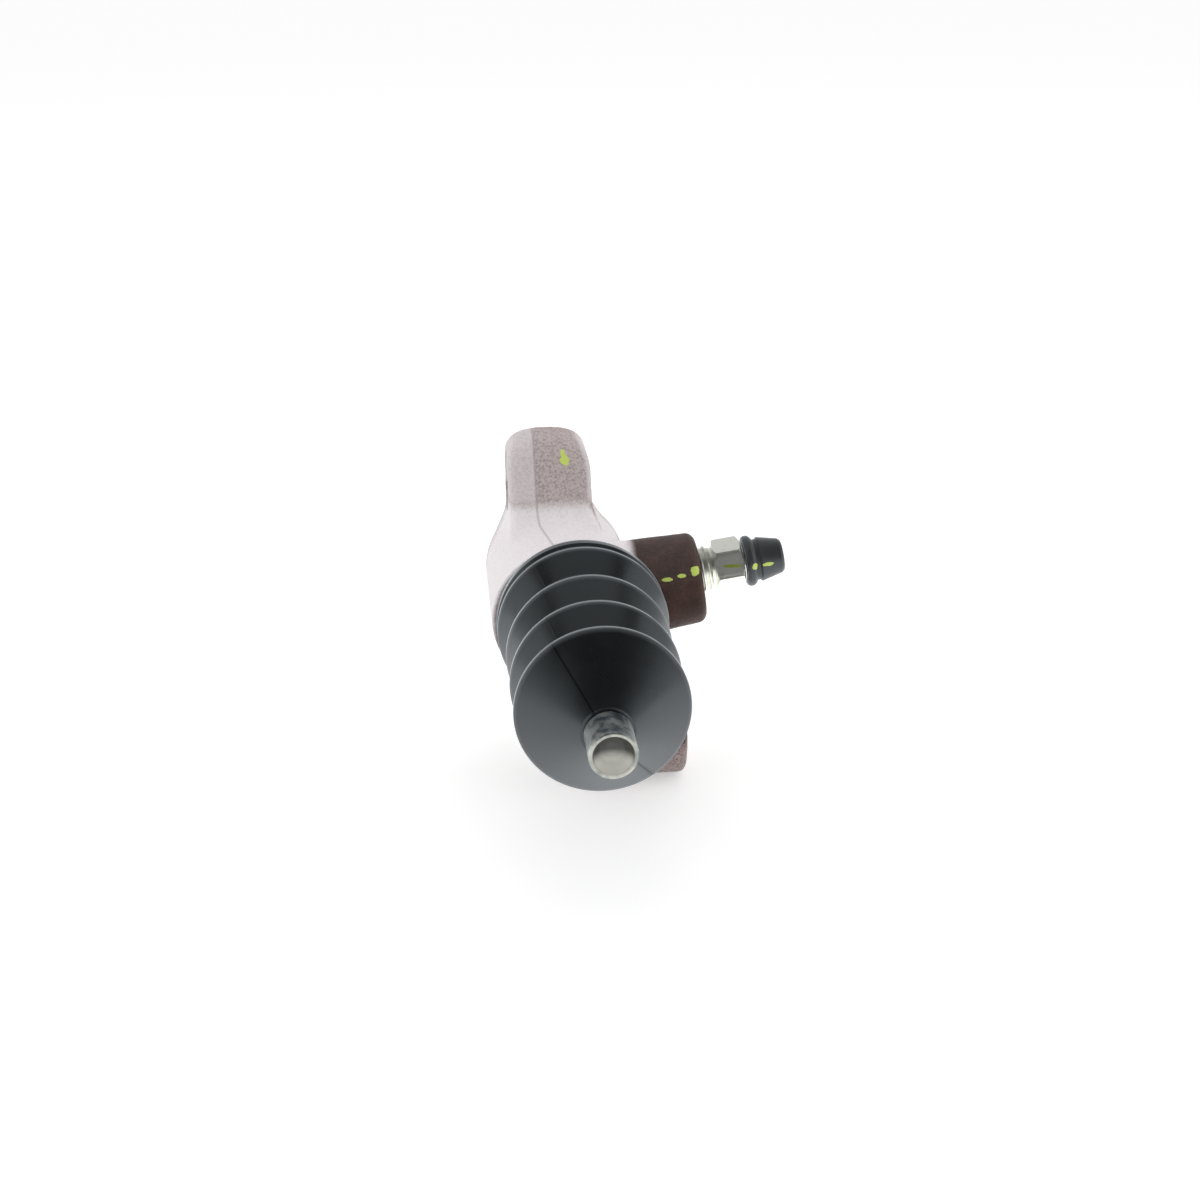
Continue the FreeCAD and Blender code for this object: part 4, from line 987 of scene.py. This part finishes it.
@dataclass
class Casting:
    """Cast skin of the housing as a signed distance, millimetres round the cylinder axis.

    Heights z count from the cylinder axis; a place far along the bleed screw counts from the
    point where the screw's axis crosses over the cylinder's.

    Attributes:
        cell: Spacing of the sampling grid.
        low: Lower corner of that grid.
        high: Upper corner of that grid.
        front: Front face of the barrel.
        rear: Rear face of the barrel.
        barrel: Radius of the barrel.
        barrel_x: Where the barrel's centre lies across the part.
        spout: Radius of the fluid port's boss.
        spout_end: Its rear face.
        ear: Place and height of the upper ear's round end.
        ear_round: Radius of that end.
        ear_x: Middle of the ear across the part.
        ear_half: Half its width.
        ear_top: Height of its top.
        lug: Place and height of the lower lug's eye.
        lug_round: Radius of the eye.
        boss: Radius of the bleed boss at its face.
        boss_face: Distance along the screw to that face.
        boss_drop: Distance between the boss's two rounds.
        holes: Each bolt hole's place, height, left face and right face.
        hole: Radius of both bolt holes.
        ring: Radius of the machined ring round them.
        parting: Place of the mould's parting line across the ear.
    """

    cell: float = 0.42
    low: Three = (-20.0, -22.0, -42.0)
    high: Three = (28.5, 27.5, 33.5)
    front: float = -20.8
    rear: float = 15.0
    barrel: float = 15.6
    barrel_x: float = -3.0
    spout: float = 9.0
    spout_end: float = 26.0
    ear: tuple[float, float] = (11.0, 23.7)
    ear_round: float = 8.6
    ear_x: float = -4.4
    ear_half: float = 9.0
    ear_top: float = 33.3
    lug: tuple[float, float] = (-11.0, -31.0)
    lug_round: float = 9.7
    boss: float = 8.2
    boss_face: float = 26.9
    boss_drop: float = 3.2
    holes: tuple[tuple[float, float, float, float], ...] = (
        (11.0, 20.6, -12.88, 4.08), (-11.0, -31.0, -0.98, 22.28))
    hole: float = 4.4
    ring: float = 6.5
    parting: float = -7.6

    def barrel_skin(self, x: np.ndarray, y: np.ndarray, z: np.ndarray) -> np.ndarray:
        """Barrel with a wide rounding at the rear and a small one at the front."""
        rear_edge, front_edge = 3.0, 0.6
        side = meet(np.hypot(x - self.barrel_x, z) - self.barrel, y - self.rear, rear_edge)
        return meet(side, self.front - y, front_edge)

    def ear_skin(self, x: np.ndarray, y: np.ndarray, z: np.ndarray) -> np.ndarray:
        """Upper ear: a round end on a foot that widens to the front.

        From the side it is a circle with two tangent half planes, cut off below; from the
        front it is a slab whose upper corners have a radius of their own on each side.
        """
        lean, left_corner, right_corner, edge = math.radians(30.0), 8.0, 9.0, 2.4
        foot_slope, foot_edge, foot = (-0.320, -0.948), 1.0, (19.6, 5.0)
        across, up = y - self.ear[0], z - self.ear[1]
        sine, cosine = math.sin(lean), math.cos(lean)
        arc = (up >= 0.0) & (cosine * up + sine * across >= 0.0)
        sides = np.maximum(sine * up - cosine * across, across) - self.ear_round
        profile = np.where(arc, np.hypot(across, up) - self.ear_round, sides)
        below = foot_slope[0] * (y - foot[0]) + foot_slope[1] * (z - foot[1])
        corner = np.where(x > self.ear_x, right_corner, left_corner)
        slab = meet(np.abs(x - self.ear_x) - self.ear_half, z - self.ear_top, corner)
        return meet(meet(profile, below, foot_edge), slab, edge)

    def lug_skin(self, x: np.ndarray, y: np.ndarray, z: np.ndarray) -> np.ndarray:
        """Lower lug: an eye round its hole and a narrower web up to the barrel."""
        lean, inset, web_top, fillet = math.radians(20.0), 0.35, -6.1, 1.2
        web_x, web_half, web_edge, top_edge = 6.75, 6.25, 1.8, 0.5
        eye_x, eye_half, eye_edge = 10.65, 12.15, 1.6
        across, up = y - self.lug[0], z - self.lug[1]
        sine, cosine = math.sin(lean), math.cos(lean)
        circle = np.hypot(across, up) - self.lug_round
        arc = (up <= 0.0) & (cosine * up + sine * across <= 0.0)
        sides = np.maximum(-across, cosine * across - sine * up) - self.lug_round
        outline = np.where(arc, circle, sides)
        web = meet(outline + inset, np.abs(x - web_x) - web_half, web_edge)
        web = meet(web, z - web_top, top_edge)
        eye = meet(circle, np.abs(x - eye_x) - eye_half, eye_edge)
        return np.maximum(join(eye, web, fillet), outline)

    @staticmethod
    def bleed_places(x: np.ndarray, y: np.ndarray, z: np.ndarray) -> Arrays:
        """Distance along the bleed screw and the two offsets from its axis."""
        sine, cosine = math.sin(BLEED_TILT), math.cos(BLEED_TILT)
        return cosine * x + sine * z, y - BLEED_PLACE, cosine * z - sine * x - BLEED_RISE

    def boss_skin(self, x: np.ndarray, y: np.ndarray, z: np.ndarray) -> np.ndarray:
        """Bleed boss: two rounds one above the other, widening from the face by the draft."""
        draft, edge, root = math.radians(3.0), 1.8, 4.0
        far, side, up = self.bleed_places(x, y, z)
        drop = up - np.clip(up, -self.boss_drop, 0.0)
        grown = self.boss + (self.boss_face - far) * math.tan(draft)
        body = meet(np.hypot(side, drop) - grown, far - self.boss_face, edge)
        return np.maximum(body, root - far)

    def cuts(self, x: np.ndarray, y: np.ndarray, z: np.ndarray) -> np.ndarray:
        """Everything machined away: bore, port, bleed hole, bolt holes and their rings."""
        bore_radius, bore_end, port_radius, port_start = 9.9, 9.0, 6.0, 13.9
        cone_start, narrow, wide, bleed_start = 12.04, 1.3, 5.06, 12.5
        axis = np.hypot(x, z)
        far, side, up = self.bleed_places(x, y, z)
        bleed = np.hypot(side, up) - np.clip(far - cone_start, narrow, wide)
        cut = np.minimum(np.maximum(axis - bore_radius, y - bore_end),
                         np.maximum(axis - port_radius, port_start - y))
        cut = np.minimum(cut, np.maximum(bleed, bleed_start - far))
        for place, height, left, right in self.holes:
            away = np.hypot(y - place, z - height)
            outside = np.maximum(left - x, x - right)
            faces = np.maximum(away - self.ring, -outside)
            cut = np.minimum(cut, np.minimum(away - self.hole, faces))
        return cut

    def parting_lines(self, x: np.ndarray, y: np.ndarray,
                      z: np.ndarray) -> tuple[np.ndarray, np.ndarray]:
        """How far the mould's parting line stands proud on the ear and on the bleed boss.

        Each is rise * exp(-(a / width)^2), where a is the distance from the line. The first
        runs down the ear and bends to the right over the barrel; the second crosses the boss.
        """
        width, ear_rise, boss_rise, boss_height = 0.3, 0.2, 0.16, 2.4
        bend, bend_start, ear_end, ear_start = 0.14, -2.3, 31.4, 4.0
        share = np.clip((ear_end - z) * 2.0, 0.0, 1.0) * np.clip(z - ear_start, 0.0, 1.0)
        line = x - self.parting - bend * np.maximum(bend_start - y, 0.0)
        first = ear_rise * share * np.exp(-(line / width) ** 2)
        far, side, up = self.bleed_places(x, y, z)
        share = np.clip(far - 13.0, 0.0, 1.0) * np.clip(26.0 - far, 0.0, 1.0) * (side < 0.0)
        return first, boss_rise * share * np.exp(-((up - boss_height) / width) ** 2)

    def distance(self, points: np.ndarray) -> np.ndarray:
        """Signed distance of the finished casting.

        The solids are joined one after another, each with its own fillet; the ear's fillet
        is wider towards its two sides than at its middle.
        """
        spout_edge, spout_start, front_edge, cut_edge = 0.8, 8.0, 0.4, 0.3
        spout_fillet, lug_fillet, boss_fillet = 1.2, 3.5, 2.5
        place = points[..., 0], points[..., 1], points[..., 2]
        x, y, z = place
        spout = meet(np.hypot(x, z) - self.spout, y - self.spout_end, spout_edge)
        body = join(self.barrel_skin(*place), np.maximum(spout, spout_start - y), spout_fillet)
        ear_fillet = 1.6 + 2.2 * np.clip(np.abs(x - self.ear_x) / 4.0 - 1.2, 0.0, 1.0)
        body = join(body, self.ear_skin(*place), ear_fillet)
        body = join(body, self.lug_skin(*place), lug_fillet)
        body = join(body, self.boss_skin(*place), boss_fillet)
        body = meet(body, self.front - y, front_edge)
        for proud in self.parting_lines(*place):
            body = body - proud
        return meet(body, -self.cuts(*place), cut_edge)

    def slope(self, points: np.ndarray) -> np.ndarray:
        """Gradient of the distance: its change over a small reach to both sides, on each axis."""
        reach = 0.05
        return np.stack([self.distance(points + step) - self.distance(points - step)
                         for step in reach * np.eye(3)], axis=-1) / (2 * reach)

    def net(self) -> tuple[np.ndarray, list]:
        """Surface net: a point in each crossed cell and a quad round each crossed edge.

        A point is the mean of the places where the surface crosses the edges of its cell.

        Returns:
            Points in millimetres and the quads.
        """
        spans = [np.arange(a, b, self.cell) for a, b in zip(self.low, self.high)]
        field = self.distance(np.stack(np.meshgrid(*spans, indexing="ij"), axis=-1))
        inside = field < 0.0
        offsets = np.array(list(np.ndindex(2, 2, 2)))
        shape = np.array(field.shape) - 1
        blocks = [inside[i:i + shape[0], j:j + shape[1], k:k + shape[2]] for i, j, k in offsets]
        mixed = np.any(blocks, axis=0) & ~np.all(blocks, axis=0)
        cells = np.argwhere(mixed)
        values = field[tuple(np.moveaxis(cells[:, None] + offsets, 2, 0))]
        pairs = np.array([(i, j) for i, j in np.ndindex(8, 8)
                          if i < j and np.abs(offsets[i] - offsets[j]).sum() == 1])
        first, second = values[:, pairs[:, 0]], values[:, pairs[:, 1]]
        crossed = (first < 0.0) != (second < 0.0)
        share = np.where(crossed, first / np.where(crossed, first - second, 1.0), 0.0)
        start, stop = offsets[pairs[:, 0]], offsets[pairs[:, 1]]
        spots = (start + share[..., None] * (stop - start)) * crossed[..., None]
        middle = spots.sum(axis=1) / crossed.sum(axis=1)[:, None]
        points = np.array(self.low) + self.cell * (cells + middle)
        number = np.zeros(mixed.shape, dtype=np.int64)
        number[tuple(cells.T)] = np.arange(len(cells))
        faces = []
        for axis in range(3):
            solid, cell = np.moveaxis(inside, axis, 0), np.moveaxis(number, axis, 0)
            solid = solid[:, 1:-1, 1:-1]
            change = solid[:-1] != solid[1:]
            corners = (cell[:, :-1, :-1], cell[:, 1:, :-1], cell[:, 1:, 1:], cell[:, :-1, 1:])
            quads = np.stack(corners, axis=-1)[change]
            turned_over = solid[:-1][change] ^ (axis == 1)
            faces.append(np.where(turned_over[:, None], quads, quads[:, ::-1]))
        return points, np.concatenate(faces).tolist()

    def mesh(self) -> bpy.types.Object:
        """The cast skin, settled onto the surface and given the grain of a sand mould.

        A point settles by minus distance * slope / slope^2, three times. The grain then lies
        below the surface: base + swing * noise deep, less near everything machined, none on
        the bleed boss's face.
        """
        rounds, least_square, least_slope = 3, 0.3, 0.2
        base, swing, face = 0.045, 0.028, 26.7
        points, faces = self.net()
        for _ in range(rounds):
            slope = self.slope(points)
            size = np.maximum((slope ** 2).sum(axis=-1), least_square)
            points = points - (self.distance(points) / size)[:, None] * slope
        away = np.clip(np.abs(self.cuts(*points.T)) * 1.5 - 0.4, 0.0, 1.0)
        away = away * (self.bleed_places(*points.T)[0] < face)
        grain = lattice_noise(points * MM, 1.1, 3) + 0.6 * lattice_noise(points * MM, 2.6, 5)
        slope = self.slope(points)
        slope = slope / np.maximum(np.linalg.norm(slope, axis=-1, keepdims=True), least_slope)
        points = points - (away * (base + swing * grain))[:, None] * slope
        return make_object("housing_cast", (points + (0.0, 0.0, AXIS_HEIGHT)) * MM, faces, 60.0)


@dataclass
class Housing:
    """Cast housing: its cast skin and the turned pieces of bare iron set into it.

    Attributes:
        columns: Points round each turned piece.
        bore: Radius of the cylinder's bore.
        thread: Outer radius of the port's thread.
        pitch: Distance from one turn of that thread to the next.
        depth: Depth of that thread.
        rings: Name, place, height and both faces of each bolt hole's lining.
    """

    columns: int = 128
    bore: float = 9.525
    thread: float = 5.0
    pitch: float = 1.0
    depth: float = 0.5
    rings: tuple[tuple[str, float, float, float, float], ...] = (
        ("housing_ring_upper", 11.0, 25.8, -12.9, 4.1),
        ("housing_ring_lower", -11.0, -25.8, -1.0, 22.3))

    def nose(self) -> bpy.types.Object:
        """Seat of the boot, skirt of the barrel and lining of the bore."""
        line = rounded([
            (10.1, -20.8, 0.0), (15.6, -20.8, 0.0), (15.6, -22.6, 0.15), (14.3, -22.6, 0.15),
            (14.3, -25.8, 0.15), (15.6, -25.8, 0.15), (15.6, -27.2, 0.2), (14.4, -28.0, 0.2),
            (12.2, -29.0, 0.6), (12.2, -43.0, 0.4), (self.bore + 1.0, -43.0, 0.1),
            (self.bore, -42.0, 0.1), (self.bore, 9.1, 0.0), (10.1, 9.1, 0.0)], 1.2, 3)
        return lathe("housing_nose", CYLINDER, line, self.columns, loop=True)

    def port(self) -> bpy.types.Object:
        """Lining of the fluid port, with its thread, a cone seat and the small hole to the bore.

        The thread's radius is thread - depth * cos(pi t)^2, with t the turns along the thread
        less the share of the turn round it.
        """
        start, stop, step = 17.3, 25.2, 0.1
        turn = full_turn(self.columns)
        far = np.arange(start, stop, step)
        share = far[:, None] / self.pitch - turn[None, :] / (2 * math.pi)
        teeth = self.thread - self.depth * np.cos(math.pi * share) ** 2
        shell = np.array([(0.1, 13.2), (6.3, 13.2), (6.3, 26.0), (5.7, 26.0), (5.0, 25.3)])
        seat_cone = np.array([(5.0, 17.0), (4.6, 17.0), (4.6, 14.0), (4.1, 14.0),
                              (1.9, 16.2), (1.25, 16.2), (1.25, 13.8), (0.1, 13.8)])
        before, after = (np.broadcast_to(part[:, :, None], (*part.shape, self.columns))
                         for part in (shell, seat_cone))
        radius = np.concatenate([before[:, 0], teeth, after[:, 0]])
        along = np.concatenate([before[:, 1], np.broadcast_to(far[:, None], teeth.shape),
                                after[:, 1]])
        return turned("housing_port", CYLINDER, along, radius, turn)

    def ring(self, name: str, place: float, height: float, left: float,
             right: float) -> bpy.types.Object:
        """Machined faces and bore of one bolt hole."""
        hole, rim, chamfer, inner = 4.25, 6.4, 0.45, 4.8
        line = rounded([
            (hole + chamfer, left, 0.1), (hole, left + chamfer, 0.1), (hole, right - chamfer, 0.1),
            (hole + chamfer, right, 0.1), (rim, right, 0.0), (rim, right - chamfer, 0.0),
            (inner, right - chamfer, 0.0), (inner, left + chamfer, 0.0), (rim, left + chamfer, 0.0),
            (rim, left, 0.0)], 2.0, 2)
        return lathe(name, Line((0.0, place, height), RIGHT), line, self.columns, loop=True)

    def build(self) -> bpy.types.Object:
        """Make the cast skin and the turned pieces."""
        bare = Metal("iron_turned", (0.60, 0.58, 0.55), (0.34, 0.30, 0.27), 0.4, 0.36).material()
        for piece in (self.nose(), self.port(), *(self.ring(*ring) for ring in self.rings)):
            dress(piece, bare)
            seat(piece, Body.HOUSING, "cast_housing")
        skin = Casting().mesh()
        dress(skin, CastIron().material())
        return seat(skin, Body.HOUSING, "cast_housing", "housing")


@dataclass
class ReturnSpring:
    """Coil spring between the bore's closed end and the piston's shoulder.

    Attributes:
        coil: Radius of the coil's middle line.
        wire: Radius of the wire.
        front: Where the middle line starts at the piston.
        rear: Where it ends at the bore's closed end.
        turns: Number of coils.
        columns: Points round the wire.
        steps: Rows along each coil.
    """

    coil: float = 6.6
    wire: float = 0.65
    front: float = -15.33
    rear: float = 8.33
    turns: int = 6
    columns: int = 16
    steps: int = 48

    def build(self) -> bpy.types.Object:
        """Make the coil.

        At share s of the wire and angle a round it, a point lies coil + wire cos(a) from the
        axis and front + (rear - front) s + wire sin(a) along it, at minus s times all the turns.
        """
        share = np.linspace(0.0, 1.0, self.turns * self.steps + 1)[:, None]
        around = full_turn(self.columns)[None, :]
        far = self.front + (self.rear - self.front) * share + self.wire * np.sin(around)
        radius = np.broadcast_to(self.coil + self.wire * np.cos(around), far.shape)
        turn = np.broadcast_to(-2 * math.pi * self.turns * share, far.shape)
        points = CYLINDER.place(far, radius, turn)
        number = np.arange(far.size).reshape(far.shape)
        below, above = number[:-1], number[1:]
        faces = ring_quads(below, above) + [number[0, ::-1].tolist(), number[-1].tolist()]
        piece = make_object("return_spring_coiled", points.reshape(-1, 3), faces, 50.0)
        finish = Metal("spring_wire", (0.42, 0.42, 0.43), (0.25, 0.25, 0.26))
        dress(piece, finish.material())
        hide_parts("return_spring")
        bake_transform(piece)
        return piece


@dataclass
class Internals:
    """Piston and cups, which keep the frame's solids."""

    def build(self) -> None:
        """Dress the inner pieces."""
        looks = {
            "piston": Metal("aluminium_turned", (0.78, 0.79, 0.80), (0.62, 0.63, 0.64), 0.3, 0.3),
            "pressure_cup": Rubber("seal_rubber"),
            "dust_cup": Rubber("seal_rubber_front")}
        for name, finish in looks.items():
            dress(bpy.data.objects[name], finish.material())


@dataclass(frozen=True)
class Lamp:
    """A soft square lamp that looks at the middle of the part.

    Attributes:
        name: Its name.
        spot: Its place, metres.
        size: Its width, metres.
        power: Its power, watts.
    """

    name: str
    spot: Three
    size: float
    power: float

    def build(self) -> None:
        """Make the lamp."""
        data = bpy.data.lights.new(self.name, "AREA")
        data.shape = "SQUARE"
        data.size = self.size
        data.energy = self.power
        lamp = bpy.data.objects.new(self.name, data)
        place = Vector(self.spot)
        aim = Vector((0.0, -0.02, 0.0)) - place
        facing = aim.to_track_quat("-Z", "Y").to_matrix().to_4x4()
        lamp.matrix_world = Matrix.Translation(place) @ facing
        bpy.context.scene.collection.objects.link(lamp)


@dataclass
class Studio:
    """Camera, lamps, floor and world.

    Attributes:
        yaw: Camera's turn from the cylinder axis towards the bleed screw, degrees.
        pitch: How far it looks down, degrees.
        roll: Its roll, degrees.
        spot: Its place, millimetres.
        lens: Focal length, for a sensor of the width below.
        sensor: Width of the sensor.
        dark_side: Direction in which mirrors see the room darker: above and behind the camera.
        dimming: How far a ray points that way where the darkening starts, and where it is whole.
        room: How bright mirrors see the room before the darkening, and after it.
        even: Factor of that brightness, and a constant, for the light that falls on the part.
        floor_height: Floor under the lower lug, millimetres.
        floor_half: Half the width of the floor, metres.
        floor_glow: How strongly the floor glows for the camera.
        lamps: The lamps.
    """

    yaw: float = 5.32
    pitch: float = 21.35
    roll: float = -0.7
    spot: Three = (-28.3, -367.3, 145.1)
    lens: float = 54.0
    sensor: float = 36.0
    dark_side: Three = (0.03, -0.45, 0.89)
    dimming: tuple[float, float] = (-0.25, 0.55)
    room: tuple[float, float] = (0.8, 0.07)
    even: tuple[float, float] = (0.52, 0.62)
    floor_height: float = -35.7
    floor_half: float = 12.0
    floor_glow: float = 0.42
    lamps: tuple[Lamp, ...] = (Lamp("lamp_top", (0.0, 0.35, 0.85), 1.2, 1.8),
                               Lamp("lamp_left", (-0.8, -0.15, 0.35), 0.6, 1.2),
                               Lamp("lamp_right", (0.8, -0.1, 0.35), 0.6, 1.2))

    def camera(self) -> None:
        """Place the camera at the photograph's angle."""
        yaw, pitch = math.radians(self.yaw), math.radians(self.pitch)
        level = math.cos(pitch)
        ahead = Vector((math.sin(yaw) * level, math.cos(yaw) * level, -math.sin(pitch)))
        side = Vector((math.cos(yaw), -math.sin(yaw), 0.0))
        up = side.cross(ahead)
        turn = Matrix((side, up, -ahead)).transposed().to_4x4()
        data = bpy.data.cameras.new("photo_camera")
        data.lens = self.lens
        data.sensor_width = self.sensor
        data.clip_start = 0.01
        camera = bpy.data.objects.new("photo_camera", data)
        camera.matrix_world = (Matrix.Translation(Vector(self.spot) * MM) @ turn
                               @ Matrix.Rotation(math.radians(self.roll), 4, "Z"))
        bpy.context.scene.collection.objects.link(camera)
        bpy.context.scene.camera = camera

    def world(self) -> None:
        """Even white background for the camera; mirrors and the part see a room that varies.

        The room's brightness follows how far a ray points along one direction. Camera,
        mirror and glass rays take the white shader, all others the soft one.
        """
        world = bpy.data.worlds.new("studio_world")
        world.use_nodes = True
        graph = Graph(world.node_tree)
        rays = graph.node("ShaderNodeLightPath").outputs
        where = graph.node("ShaderNodeTexCoord").outputs["Generated"]
        toward = graph.vector("DOT_PRODUCT", where, self.dark_side)
        dim = graph.spread(toward, *self.dimming, *self.room)
        seen = graph.chain("MAXIMUM", rays["Is Camera Ray"], rays["Is Glossy Ray"],
                           rays["Is Transmission Ray"])
        soft, white = graph.node("ShaderNodeBackground"), graph.node("ShaderNodeBackground")
        for shade, strength in ((soft, graph.math("MULTIPLY_ADD", dim, *self.even)),
                                (white, graph.math("MAXIMUM", rays["Is Camera Ray"], dim))):
            graph.feed(shade.inputs["Color"], (1.0, 1.0, 1.0, 1.0))
            graph.feed(shade.inputs["Strength"], strength)
        choose = graph.node("ShaderNodeMixShader")
        for socket, value in zip(choose.inputs, (seen, soft.outputs[0], white.outputs[0])):
            graph.feed(socket, value)
        graph.feed(graph.node("ShaderNodeOutputWorld").inputs["Surface"], choose.outputs[0])
        bpy.context.scene.world = world

    def floor(self) -> bpy.types.Object:
        """Plain pale floor, with a little glow for the camera that keeps its shadow."""
        wide, height = self.floor_half, self.floor_height * MM
        corners = [(x * wide, y * wide, height) for x, y in ((-1, -1), (1, -1), (1, 1), (-1, 1))]
        mesh = bpy.data.meshes.new("floor")
        mesh.from_pydata(corners, [], [(0, 1, 2, 3)])
        floor = bpy.data.objects.new("floor", mesh)
        bpy.context.scene.collection.objects.link(floor)
        shader = Shader("floor_white")
        rays = shader.node("ShaderNodeLightPath").outputs
        glow = shader.math("MULTIPLY_ADD", rays["Is Camera Ray"], self.floor_glow,
                           rays["Is Glossy Ray"])
        shader.set(Base_Color=(0.80, 0.80, 0.80, 1.0), Roughness=0.9, Specular_IOR_Level=0.1,
                   Emission_Color=(1.0, 1.0, 1.0, 1.0), Emission_Strength=glow)
        dress(floor, shader.material)
        return floor

    def build(self) -> None:
        """Set up the whole studio."""
        bpy.context.scene.view_settings.view_transform = "Standard"
        self.camera()
        self.world()
        self.floor()
        for lamp in self.lamps:
            lamp.build()


def main() -> None:
    """Build the studio and each sub-assembly, and report each piece."""
    logging.basicConfig(level=logging.INFO, format="%(name)s: %(message)s")
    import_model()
    Studio().build()
    for maker in (Housing(), Boot(), Pushrod(), BleedScrew(), BleedCap(), ReturnSpring(),
                  Internals()):
        piece = maker.build()
        LOG.info("%s made %s", type(maker).__name__, piece.name if piece else "inner pieces")


if __name__ == "__main__":
    main()
